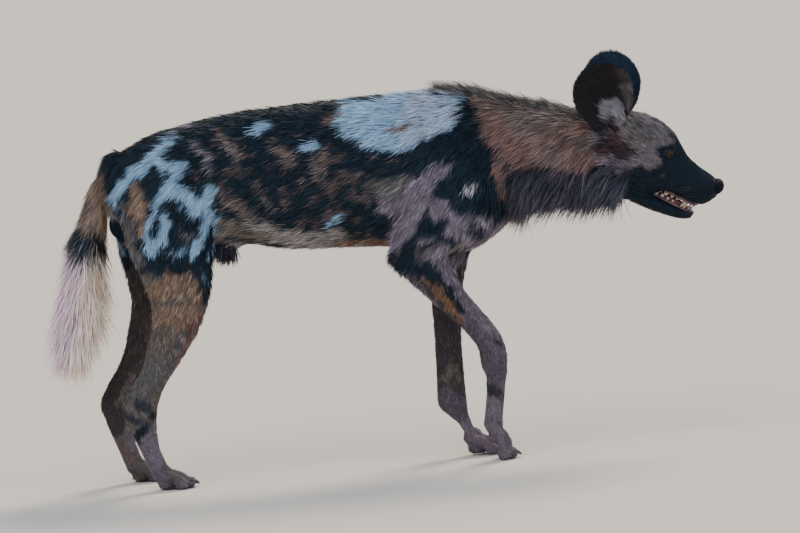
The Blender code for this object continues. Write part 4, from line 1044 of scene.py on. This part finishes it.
def packCharts(flat, chart):
    # lays each chart's own plane in the unit square, on shelves, all at one scale
    spans = []
    for k in np.unique(chart):
        mine = flat[chart == k]
        low, high = mine.min(0), mine.max(0)
        spans.append((k, low, high - low + 0.006))
    spans.sort(key=lambda span: -span[2][1])
    scale, places = 0.0, {}
    for trial in np.geomspace(12.0, 0.25, 120):
        x = y = shelf = 0.0
        fits, found = True, {}
        for k, low, size in spans:
            wide, high = size * trial
            if x + wide > 1:
                x, y, shelf = 0.0, y + shelf, 0.0
            shelf = max(shelf, high)
            found[k] = (x, y, low)
            x += wide
            if x > 1 or y + shelf > 1:
                fits = False
                break
        if fits:
            scale, places = trial, found
            break
    out = np.empty_like(flat)
    for k, (x, y, low) in places.items():
        mask = chart == k
        out[mask] = (flat[mask] - low + 0.003) * scale + (x, y)
    return out


def unwrap(points, normals):
    # the skin's own shape cut into charts by the way it faces and by its side of the body
    axis = np.abs(normals).argmax(1)
    sign = normals[np.arange(len(axis)), axis] > 0
    chart = axis * 4 + sign * 2 + (points[:, 1] > 0)
    flat = np.empty((len(points), 2))
    for k, (u, v) in enumerate(((1, 2), (0, 2), (0, 1))):
        mask = axis == k
        flat[mask] = points[mask][:, [u, v]]
    return packCharts(flat, chart)


def bladeMesh(name, paths, sides, widths, colours, places, grain):
    # paths: blades x rows + 1 x 3. Each blade narrows to one point.
    count, rows = len(paths), paths.shape[1] - 1
    per = 2 * rows + 1
    rootShadeTone = coat["brushRootShadeTone" if name == "coatTail" else "rootShadeTone"]
    points, shades, flat = (np.empty((count, per, size), np.float32) for size in (3, 3, 2))
    for r in range(rows):
        half = sides * (widths * (1 - (r / rows) ** 2.2) / 2)[:, None]
        points[:, 2 * r] = paths[:, r] - half
        points[:, 2 * r + 1] = paths[:, r] + half
    points[:, -1] = paths[:, rows]
    # each blade goes from painted shade at the root to painted light at the tip
    for k in range(per):
        t = min(k // 2, rows) / rows
        shades[:, k] = colours * (rootShadeTone + (coat["tipLightTone"] - rootShadeTone) * t)
        edge = (k % 2) if k < per - 1 else 0.5
        flat[:, k, 0] = places[:, 0] + (grain + edge / coat["blades"] - 0.5) * coat["patch"]
        flat[:, k, 1] = places[:, 1] + (t - 0.5) * coat["patch"]
    loops = []
    for r in range(rows - 1):
        loops += [2 * r, 2 * r + 1, 2 * r + 3, 2 * r + 2]
    loops += [2 * rows - 2, 2 * rows - 1, 2 * rows]
    loops = (np.array(loops)[None] + np.arange(count)[:, None] * per).ravel().astype(np.int32)
    sizes = np.tile(np.array([4] * (rows - 1) + [3]), count)
    mesh = bpy.data.meshes.new(name)
    mesh.vertices.add(count * per)
    mesh.vertices.foreach_set("co", points.ravel())
    mesh.loops.add(len(loops))
    mesh.loops.foreach_set("vertex_index", loops)
    mesh.polygons.add(len(sizes))
    mesh.polygons.foreach_set("loop_start", np.concatenate([[0], np.cumsum(sizes)[:-1]]).astype(np.int32))
    mesh.update(calc_edges=True)
    uv = mesh.uv_layers.new(name="OFBake")
    uv.data.foreach_set("uv", flat.reshape(-1, 2)[loops].ravel())
    obj = link(name, mesh)
    mesh.materials.append(coatMaterial)
    paint(obj, shades.reshape(-1, 3))
    mesh.shade_smooth()
    return obj


def pickRoots(allowed, count, draw, power=2.0):
    # seeded places on the skin's allowed faces, closer where the hair is shorter
    faces = surface.faces[allowed]
    length = growth[faces, 0].mean(1) * 0.001
    weight = surface.areas[allowed] / length ** power * thick[faces].mean(1)
    picked = np.searchsorted(np.cumsum(weight) / weight.sum(), np.sort(draw.random(count)))
    corners = faces[np.minimum(picked, len(faces) - 1)]
    a, b = draw.random(count), draw.random(count)
    flip = a + b > 1
    a[flip], b[flip] = 1 - a[flip], 1 - b[flip]
    share = np.column_stack([1 - a - b, a, b])[:, :, None]
    spread = {
        "points": (surface.points[corners] * share).sum(1),
        "normals": unit((surface.normals[corners] * share).sum(1)),
        "ways": (flow[corners] * share).sum(1), "parts": region[corners[:, 0]],
    }
    spread["length"], _, spread["lift"] = (growth[corners] * share).sum(1).T
    return spread


def growTufts(name, at, rows, slim, draw, tone=None, swirl=0.16, splay=coat["splay"]):
    roots, normals = at["points"], at["normals"]
    count = len(roots)
    ways = at["ways"] + unit(ripples(roots, 70, 21)) * swirl
    ways = unit(ways - normals * (ways * normals).sum(1, keepdims=True))
    if tone is None:
        along = at["length"][:, None] * draw.uniform(0.00020, 0.00075, (count, 1))
        tone = markings(roots + ways * along, normals, at["parts"])
    # pale and short hair varies less than dark and long hair
    mixed = np.clip(1.6 - tone.max(1, keepdims=True) * 1.4, 0.5, 1.5) * np.clip(at["length"][:, None] / 18, 0.40, 1.0)
    patchy = 0.10 * ripple(roots, 240, 24)[:, None]
    tone = tone * np.exp(mixed * (draw.normal(0, coat["tuftTone"], (count, 1)) + patchy))
    places = unwrap(roots, normals)
    across = np.cross(ways, normals)
    long = at["length"] * 0.001 * draw.uniform(0.75, 1.12, count)
    paths, sides, widths, tones, grains = [], [], [], [], []
    for blade in range(coat["blades"]):
        way = unit(ways + across * draw.normal(0, splay, count)[:, None])
        reach = long * draw.uniform(0.72, 1.12, count)
        rise = np.radians(at["lift"] * draw.uniform(0.5, 1.4, count))[:, None]
        wide = reach * slim * draw.uniform(0.75, 1.2, count)
        start = roots + across * (wide * (blade - 1) * 1.3)[:, None] - normals * 0.0004
        path = np.empty((count, rows + 1, 3))
        for r in range(rows + 1):
            t = r / rows
            out = np.sin(rise) * (t - coat["bow"] * t * t) / (1 - coat["bow"])
            path[:, r] = start + reach[:, None] * (way * np.cos(rise) * t + normals * out)
            path[:, r, 2] -= np.clip(reach - 0.03, 0, None) * coat["sag"] * t * t
        roll = draw.normal(0, 0.55, count)[:, None]
        paths.append(path)
        sides.append(across * np.cos(roll) + normals * np.sin(roll))
        widths.append(wide)
        tones.append(tone * np.exp(mixed * draw.normal(0, coat["bladeTone"], (count, 1))))
        grains.append(np.full(count, blade / coat["blades"]))
    paths = np.concatenate(paths)
    paths[:, :, 2] = np.maximum(paths[:, :, 2], coat["lowest"])
    obj = bladeMesh(
        name, paths, np.concatenate(sides), np.concatenate(widths), np.clip(np.concatenate(tones), 0.002, 0.95),
        np.concatenate([places] * coat["blades"]), np.concatenate(grains),
    )
    print(name, count, "tufts,", count * coat["blades"] * (2 * rows - 1), "triangles")
    return obj


def facesOf(parts, half):
    keep = np.isin(region[surface.faces[:, 0]], [regionNames.index(p) for p in parts])
    if half:
        keep &= surface.points[surface.faces].mean(1)[:, 1] * half > 0
    return keep & ~bald[surface.faces].any(1)


coatPieces = []
for k, (name, (parts, half, count, rows, slim)) in enumerate(coat["pieces"].items()):
    draw = np.random.default_rng(coat["seed"] + k)
    roots = pickRoots(facesOf(parts, half), count, draw)
    coatPieces.append(growTufts(name, roots, rows, slim, draw))
print("coat grown")

# --- long hair that stands out of the coat: throat ruff, hackles, ear fluff and the tuft under the belly

fringe = {
    # piece: tufts, length in mm, lift, rows, blade width share
    "throatRuff": (2600, 58, 42, 4, 0.020),
    "hackles": (1300, 40, 27, 3, 0.028),
    "earFluff": (1100, 23, 36, 4, 0.020),
    "earEdge": (520, 15, 22, 3, 0.030),
    "bellyTuft": (420, 33, 26, 4, 0.036),
    "tuft": (-0.247, 0.0, 0.402),  # middle of the belly tuft
}


def longHair(name, mask, way, *tones):
    # all in one way, each tuft's colour mixed from the tones
    count, length, lift, rows, slim = fringe[name]
    draw = np.random.default_rng(len(name))
    at = pickRoots(mask[surface.faces].all(1), count, draw, 0.0)
    at["ways"] = unit(np.tile(np.array(way, float), (count, 1)))
    at["length"] = np.full(count, float(length))
    at["lift"] = np.full(count, float(lift))
    mixed = draw.dirichlet([0.6] * len(tones), count) @ np.array([palette[tone] for tone in tones])
    coatPieces.append(growTufts(name, at, rows, slim, draw, mixed, 0.22, 0.25))


throat = isPart["neck"] | ((isPart["head"] | isPart["lower_jaw"]) & (inHead[:, 0] < 0.012))
throat &= (surface.normals[:, 2] < -0.15) & (drawn[:, 0] > 0.265)
longHair("throatRuff", throat, (-0.62, 0, -0.78), "black", "black", "char", "plum")
nape = (isPart["neck"] | isPart["torso"]) & (surface.normals[:, 2] > 0.75)
nape &= (np.abs(surface.points[:, 1]) < 0.035) & (drawn[:, 0] > 0.16) & (drawn[:, 0] < 0.42)
longHair("hackles", nape, (-0.95, 0, 0.1), "black", "char", "sand")
fluffy, edged = np.zeros((2, len(region)), bool)
for s in (-1, 1):
    _, inner, high, ahead = earSide(s, inHead, surface.normals, isPart["ear"], 0.1)
    fluffy |= inner & (high > -0.04) & (high < 0.30) & (ahead > -0.10) & (ahead < 0.62)
    edged |= inner & (high > 0.05) & (high < 0.60) & (ahead > 0.66)
earUp = turn @ np.array(earAxes(-1)[0])
longHair("earFluff", fluffy, tuple(earUp * 0.8 + np.array([-0.5, 0, -0.15])), "fluff", "milk", "char", "grey")
longHair("earEdge", edged, tuple(earUp * 0.9 + np.array([-0.35, 0, 0])), "grey", "char", "ash")
tufted = np.linalg.norm((drawn - fringe["tuft"]) * (0.8, 1, 0.7), axis=1) < 0.022
longHair("bellyTuft", tufted & (surface.normals[:, 2] < 0.2), (0.12, 0, -1.0), "black", "char", "rust")
print("long hair grown")

# --- eyes and lids

eyes = {
    "bulge": 0.0007, "iris": 36.0, "pupil": 13.0,
    "halfLong": 0.0086, "upper": 0.0052, "lower": 0.0044, "tilt": -18,
    # lid rings from the eye outwards: size of the opening, height over the eyeball
    "lidRings": (
        (0.96, 0.0000), (1.00, 0.0007), (1.08, 0.0014), (1.20, 0.0019), (1.34, 0.0019), (1.50, 0.0016),
        (1.75, 0.0012), (2.05, 0.0007),
    ),
}
extras = []  # each piece that isn't coat, its slot and the node that it stands for


def eyePlace(s):
    seat = Matrix.Translation(eyeSeat(s))
    return headPlace @ seat @ turned(s * eyeLook["outward"], "Z") @ turned(-eyeLook["up"], "Y")


def eyeFinish():
    f = Finish("eye")
    gaze = f.attribute("gaze", "Fac")
    streaks = f.noise(1500, 3)
    iris = f.mix(streaks, rgb(0.030, 0.014, 0.007), rgb(0.070, 0.034, 0.015))
    iris = f.mix(f.step(gaze, 26, 36), iris, rgb(0.012, 0.007, 0.006))
    iris = f.mix(1 - f.step(gaze, eyes["pupil"] - 1.5, eyes["pupil"] + 1.5), iris, rgb(0.001, 0.001, 0.001))
    ball = f.mix(f.step(gaze, eyes["iris"] - 1, eyes["iris"] + 3), iris, rgb(0.020, 0.014, 0.013))
    return f.close(Base_Color=ball, Roughness=0.30, Specular_IOR_Level=0.12, Coat_Weight=0.14, Coat_Roughness=0.05)


def lidFinish():
    f = Finish("lid")
    shade = f.mix(f.noise(600, 3), rgb(0.0027, 0.0032, 0.0040), rgb(0.0081, 0.0077, 0.0086))
    relief = f.bump(f.noise(900, 4), 0.4, 0.0008)
    return f.close(Base_Color=shade, Roughness=0.48, Specular_IOR_Level=0.3, Normal=relief)


def buildEye(s, name, material):
    bm = bmesh.new()
    bmesh.ops.create_uvsphere(bm, u_segments=48, v_segments=48, radius=eyeLook["radius"])
    gaze = bm.verts.layers.float.new("gaze")
    for vert in bm.verts:
        angle = math.degrees(math.acos(max(-1.0, min(1.0, vert.co.z / eyeLook["radius"]))))
        vert[gaze] = angle
        if angle < eyes["iris"]:
            vert.co *= 1 + eyes["bulge"] / eyeLook["radius"] * math.cos(math.radians(angle / eyes["iris"] * 90)) ** 1.3
    bmesh.ops.transform(bm, matrix=eyePlace(s) @ turned(90, "Y"), verts=bm.verts)
    return newObject(name, bm, material)


def buildLids(s, name, material):
    radius = eyeLook["radius"]
    place = eyePlace(s) @ turned(s * eyes["tilt"], "X")
    rings = []
    for size, height in eyes["lidRings"]:
        ring = []
        for k in range(56):
            a = 2 * math.pi * k / 56
            y = eyes["halfLong"] * size * math.cos(a)
            tall = eyes["upper"] if math.sin(a) > 0 else eyes["lower"]
            z = tall * size * math.sin(a) * abs(math.sin(a)) ** 0.25
            fold = 0.0004 * math.exp(-((size - 1.34) / 0.08) ** 2) * max(0.0, math.sin(a))
            away = math.hypot(y, z)
            bend = min(1.5, away / radius)
            reach = radius + height - fold
            level, aside = reach * math.cos(bend), reach * math.sin(bend)
            ring.append(place @ Vector((level, aside * y / away, aside * z / away)))
        rings.append(ring)
    bm = bridge(rings)
    middle = eyePlace(s) @ Vector((0, 0, 0))
    if sum((f.calc_center_median() - middle).dot(f.normal) for f in bm.faces) < 0:
        bmesh.ops.reverse_faces(bm, faces=bm.faces)
    obj = newObject(name, bm, material)
    sub = obj.modifiers.new("round", "SUBSURF")
    sub.levels = sub.render_levels = 1
    return bake(obj)


eyeMaterial, lidMaterial = eyeFinish(), lidFinish()
for s, word in ((-1, "Right"), (1, "Left")):
    extras.append((buildEye(s, "eye" + word, eyeMaterial), "eye", "eye_" + word.lower()))
    extras.append((buildLids(s, "lids" + word, lidMaterial), "nose_leather", None))
print("eyes and lids made")

# --- nose leather

noseLook = {"swell": 0.0006, "voxel": 0.0007, "smoothing": 7, "tip": 0.1475, "groove": 0.0011}


def noseFinish():
    f = Finish("noseLeather")
    pebbles = f.cells(900)
    shade = f.mix(f.step(pebbles, 0.0, 0.12), rgb(0.002, 0.003, 0.005), rgb(0.004, 0.007, 0.011))
    shade = f.mix(f.noise(160, 3), shade, rgb(0.003, 0.006, 0.010))
    relief = f.bump(f.step(pebbles, 0.0, 0.30), 0.5, 0.0007)
    # the blue specular tint is a painted sky reflection on the nose leather
    return f.close(
        Base_Color=shade, Roughness=0.55, Specular_IOR_Level=0.09, Specular_Tint=rgb(0.45, 0.7, 1.0),
        Coat_Weight=0.02, Coat_Roughness=0.25, Normal=relief,
    )


def buildNose():
    obj = newObject("noseLeather", nodeCopy("nose", noseLook["swell"]), noseFinish())
    fuse(obj, noseLook["voxel"], noseLook["smoothing"])
    points = readPoints(obj.data)
    local = apply(headPlace.inverted(), points)
    front = np.clip((local[:, 0] - noseLook["tip"] - 0.001) / 0.006, 0, 1)
    local[:, 0] -= noseLook["groove"] * front * np.exp(-(local[:, 1] / 0.0010) ** 2)
    obj.data.vertices.foreach_set("co", apply(headPlace, local).astype(np.float32).ravel())
    obj.data.shade_smooth()
    return obj


extras.append((buildNose(), "nose_leather", "nose"))
print("nose made")

# --- mouth: gums, teeth and tongue

mouth = {
    "gumUpper": -0.0372, "gumLower": -0.0528, "gumRadius": 0.0030,
    # half of each tooth row in the head's frame, from the back forwards: x, y
    "upperRow": (
        (0.056, 0.0245), (0.075, 0.0228), (0.095, 0.0206), (0.112, 0.0186), (0.120, 0.0165), (0.1275, 0.0110),
        (0.1310, 0.0),
    ),
    "lowerRow": (
        (0.054, 0.0235), (0.072, 0.0218), (0.092, 0.0192), (0.108, 0.0168), (0.118, 0.0140), (0.1255, 0.0085),
        (0.1280, 0.0),
    ),
    # place along the row, length, half length along the jaw, half width, lean forwards
    "upperTeeth": (
        (0.10, 0.0062, 0.0042, 0.0020, 0.0), (0.24, 0.0066, 0.0044, 0.0019, 0.0), (0.37, 0.0052, 0.0034, 0.0016, 0.0),
        (0.49, 0.0044, 0.0029, 0.0015, 0.0), (0.665, 0.0125, 0.0033, 0.0026, -0.002),
        (0.80, 0.0060, 0.0020, 0.0018, 0.001), (0.875, 0.0056, 0.0019, 0.0017, 0.001),
        (0.955, 0.0054, 0.0018, 0.0016, 0.001),
    ),
    "lowerTeeth": (
        (0.08, 0.0058, 0.0046, 0.0019, 0.0), (0.22, 0.0060, 0.0042, 0.0018, 0.0), (0.35, 0.0052, 0.0036, 0.0016, 0.0),
        (0.47, 0.0046, 0.0030, 0.0015, 0.0), (0.735, 0.0120, 0.0030, 0.0024, 0.002),
        (0.84, 0.0048, 0.0018, 0.0016, 0.001), (0.905, 0.0044, 0.0017, 0.0015, 0.001),
        (0.97, 0.0042, 0.0016, 0.0015, 0.001),
    ),
    "tongue": {"centre": (0.086, 0.0, -0.0490), "half": (0.037, 0.0140, 0.0042), "groove": 0.0016},
}


def gumFinish():
    f = Finish("gum")
    shade = f.mix(f.noise(120, 3), rgb(0.080, 0.036, 0.046), rgb(0.150, 0.076, 0.092))
    shade = f.mix(f.step(f.noise(70, 2), 0.48, 0.60), shade, rgb(0.030, 0.022, 0.030))
    return f.close(
        Base_Color=shade, Roughness=0.35, Specular_IOR_Level=0.3, Coat_Weight=0.15, Coat_Roughness=0.15,
        Normal=f.bump(f.noise(500, 3), 0.3, 0.0006),
    )


def toothFinish():
    f = Finish("tooth")
    rise = f.attribute("crown", "Fac")
    shade = f.mix(rise, rgb(0.26, 0.20, 0.16), rgb(0.50, 0.46, 0.44))
    shade = f.mix(f.noise(300, 3) * 0.3, shade, rgb(0.34, 0.28, 0.24))
    return f.close(Base_Color=shade, Roughness=0.22, Coat_Weight=0.3, Coat_Roughness=0.1)


def tongueFinish():
    f = Finish("tongue")
    shade = f.mix(f.noise(90, 3), rgb(0.34, 0.13, 0.13), rgb(0.46, 0.22, 0.21))
    return f.close(Base_Color=shade, Roughness=0.36, Normal=f.bump(f.step(f.cells(1400), 0.0, 0.3), 0.5, 0.0005))


def alongRow(row, share, s):
    # place and heading on a tooth row; share 0 at its back, 1 at its middle in front
    table = np.array(row)
    steps = np.concatenate([[0], np.cumsum(np.linalg.norm(np.diff(table, axis=0), axis=1))])
    at = share * steps[-1]
    places = (at, min(at + 0.001, steps[-1]), max(at - 0.001, 0))
    here, ahead, back = ([np.interp(place, steps, table[:, k]) for k in (0, 1)] for place in places)
    way = Vector((ahead[0] - back[0], s * (ahead[1] - back[1]), 0)).normalized()
    return Vector((here[0], s * here[1], 0)), way


def buildGum(name, row, level, material):
    rings, radius = [], mouth["gumRadius"]
    stops = [(-1, k / 26) for k in range(27)] + [(1, 1 - k / 26) for k in range(1, 27)]
    for s, share in stops:
        place, way = alongRow(row, share, s)
        if s > 0:
            way = -way
        out = Vector((way.y, -way.x, 0))
        swell = 1 + 0.10 * math.sin(share * 60)
        ends = min(1.0, 0.25 + share * 9)
        ring = []
        for k in range(12):
            a = 2 * math.pi * k / 12
            lift = Vector((0, 0, radius * ends * swell * math.sin(a)))
            ring.append(headPlace @ (place + Vector((0, 0, level)) + out * (radius * ends * math.cos(a)) + lift))
        rings.append(ring)
    return newObject(name, bridge(rings, capEnds=True), material)


def buildTeeth(name, row, level, teeth, sign, material):
    # sign 1 for teeth that point down
    bm = bmesh.new()
    crown = bm.verts.layers.float.new("crown")
    for s in (-1, 1):
        for share, length, long, wide, lean in teeth:
            place, way = alongRow(row, share, s)
            out = Vector((way.y, -way.x, 0))
            made = bmesh.ops.create_cone(bm, cap_ends=True, segments=10, radius1=1.0, radius2=0.16, depth=1.0)["verts"]
            for height in (-0.25, 0.0, 0.25):
                geom = [*made, *{e for v in made for e in v.link_edges}, *{f for v in made for f in v.link_faces}]
                cut = bmesh.ops.bisect_plane(bm, geom=geom, plane_co=(0, 0, height), plane_no=(0, 0, 1))["geom_cut"]
                made = list(set(made) | {v for v in cut if isinstance(v, bmesh.types.BMVert)})
            for vert in made:
                t = vert.co.z + 0.5
                vert[crown] = t
                full = math.sqrt(max(0.0, 1 - t ** 1.6)) / max(0.16, 1 - 0.84 * t) if t < 0.98 else 1.0
                x, y = vert.co.x * full * long, vert.co.y * full * wide
                z = level + sign * 0.0012 - sign * length * t
                centre = place + way * (x + lean * t * t * 2 - 0.0008 * t * t) + out * y
                vert.co = headPlace @ Vector((centre.x, centre.y, z))
    bmesh.ops.recalc_face_normals(bm, faces=bm.faces)
    return newObject(name, bm, material)


def buildTongue():
    look = mouth["tongue"]
    bm = bmesh.new()
    bmesh.ops.create_uvsphere(bm, u_segments=40, v_segments=24, radius=1.0)
    for vert in bm.verts:
        x, y, z = vert.co
        place = Vector((x * look["half"][0], y * look["half"][1] * (1 - 0.18 * x), z * look["half"][2]))
        if z > 0:
            place.z -= look["groove"] * math.exp(-(place.y / 0.0022) ** 2) * z
        place.z -= 0.0016 * max(0.0, x) ** 2
        vert.co = headPlace @ (Vector(look["centre"]) + place)
    return newObject("tongueSoft", bm, tongueFinish())


gumMaterial, toothMaterial = gumFinish(), toothFinish()
for jaw in ("Upper", "Lower"):
    gum = buildGum("gum" + jaw, mouth[jaw.lower() + "Row"], mouth["gum" + jaw], gumMaterial)
    extras.append((gum, "mouth", None))
for jaw, sign in (("Upper", 1), ("Lower", -1)):
    row, teeth = mouth[jaw.lower() + "Row"], mouth[jaw.lower() + "Teeth"]
    level = mouth["gum" + jaw] - sign * mouth["gumRadius"]
    extras.append((buildTeeth("teeth" + jaw, row, level, teeth, sign, toothMaterial), "tooth", None))
extras.append((buildTongue(), "tongue", "tongue"))
print("mouth made")

# --- claws and whiskers

clawLook = {"length": 0.0185, "radius": 0.0036, "drop": 0.42, "ahead": 0.0022, "above": 0.0034}


def clawFinish():
    f = Finish("claw")
    rise = f.attribute("crown", "Fac")
    shade = f.mix(rise, rgb(0.008, 0.007, 0.008), rgb(0.045, 0.036, 0.03))
    shade = f.mix(f.noise(240, 3) * 0.4, shade, rgb(0.03, 0.025, 0.022))
    return f.close(Base_Color=shade, Roughness=0.34, Normal=f.bump(f.noise(800, 3), 0.25, 0.0005))


def buildClaws(material):
    bm = bmesh.new()
    crown = bm.verts.layers.float.new("crown")
    for ball, reach in toes["balls"]:
        for spread, short in zip(toes["spread"], toes["shorter"]):
            tip = Vector((ball[0] + reach - short, ball[1] + spread, toes["tipHeight"])) + shift
            place = tip + Vector((clawLook["ahead"], spread * 0.06, clawLook["above"]))
            heading = Vector((0.94, spread * 3.0, -0.10)).normalized()
            across = heading.cross(Vector((0, 0, 1))).normalized()
            last = None
            for k in range(8):
                t = k / 7
                up = across.cross(heading)
                thick = clawLook["radius"] * (1 - t ** 1.7) + 0.0003
                ring = bmesh.ops.create_circle(bm, cap_ends=k in (0, 7), segments=12, radius=1.0)["verts"]
                for vert in ring:
                    vert.co = place + across * (vert.co.x * thick * 0.68) + up * (vert.co.y * thick)
                    vert[crown] = t
                edges = list({edge for vert in ring for edge in vert.link_edges})
                if last:
                    bmesh.ops.bridge_loops(bm, edges=last + edges)
                last = edges
                place = place + heading * clawLook["length"] / 7
                heading = (heading + Vector((0, 0, -clawLook["drop"] / 4))).normalized()
    for vert in bm.verts:
        vert.co.z = max(vert.co.z, floorGap)
    bmesh.ops.recalc_face_normals(bm, faces=bm.faces)
    return newObject("claws", bm, material)


whiskers = {"radius": 0.00032, "perSide": 13, "length": (0.022, 0.046), "brow": 3}


def buildWhiskers():
    f = Finish("whisker")
    shade = f.mix(f.noise(200, 2), rgb(0.008, 0.008, 0.010), rgb(0.03, 0.028, 0.03))
    material = f.close(Base_Color=shade, Roughness=0.4)
    tree = BVHTree.FromPolygons(surface.points.tolist(), surface.faces.tolist())
    draw = np.random.default_rng(31)
    pieces = []
    toWorld = headPlace.to_3x3()
    for s in (-1, 1):
        for k in range(whiskers["perSide"] + whiskers["brow"]):
            brow = k >= whiskers["perSide"]
            x = 0.052 + 0.005 * (k - whiskers["perSide"]) if brow else draw.uniform(0.092, 0.134)
            z = 0.048 if brow else draw.uniform(-0.030, -0.006)
            start = headPlace @ Vector((x, s * (0.030 if brow else 0.08), z))
            way = toWorld @ Vector((0, -s * (0.35 if brow else 1.0), -0.9 if brow else 0.0)).normalized()
            place, normal, _, _ = tree.ray_cast(start, way)
            if place is None:
                continue
            length = draw.uniform(*whiskers["length"]) * (0.7 if brow else 1.0)
            back, high = -0.65 + draw.uniform(-0.15, 0.15), (0.6 if brow else -0.15) + draw.uniform(-0.15, 0.1)
            heading = (toWorld @ Vector((back, s * 0.75, high))).normalized()
            rings = []
            for r in range(6):
                t = r / 5
                across = heading.orthogonal().normalized()
                other = heading.cross(across)
                thick = whiskers["radius"] * (1 - 0.85 * t)
                rings.append([place + (across * math.cos(a) + other * math.sin(a)) * thick for a in (0, 2.09, 4.19)])
                place = place + heading * length / 5
                heading = (heading + toWorld @ Vector((-0.10, 0, -0.07))).normalized()
            pieces.append(bridge(rings, capEnds=True))
    return newObject("whiskers", joined(pieces), material)


extras += [(buildClaws(clawFinish()), "claw", None), (buildWhiskers(), "whisker", None)]
print("claws and whiskers made")

# --- floor, and what rides and replaces


def buildFloor():
    bm = bmesh.new()
    bmesh.ops.create_circle(bm, cap_ends=True, segments=96, radius=45)
    f = Finish("floor")
    shade = f.mix(f.noise(3, 2), rgb(0.62, 0.60, 0.56), rgb(0.68, 0.66, 0.62))
    material = f.close(Base_Color=shade, Roughness=0.85)
    floor = newObject("floor", bm, material, False)


buildFloor()
for piece in [skinPiece] + coatPieces + [piece for piece, _, _ in extras]:
    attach(piece, "root")
fleshNodes = [name for name in nodes if regionOf(name) not in ("eye", "nose", "tongue")]
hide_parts(*sorted(fleshNodes))
for piece, _, name in extras:
    if name:
        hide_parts(name)
print("finished")
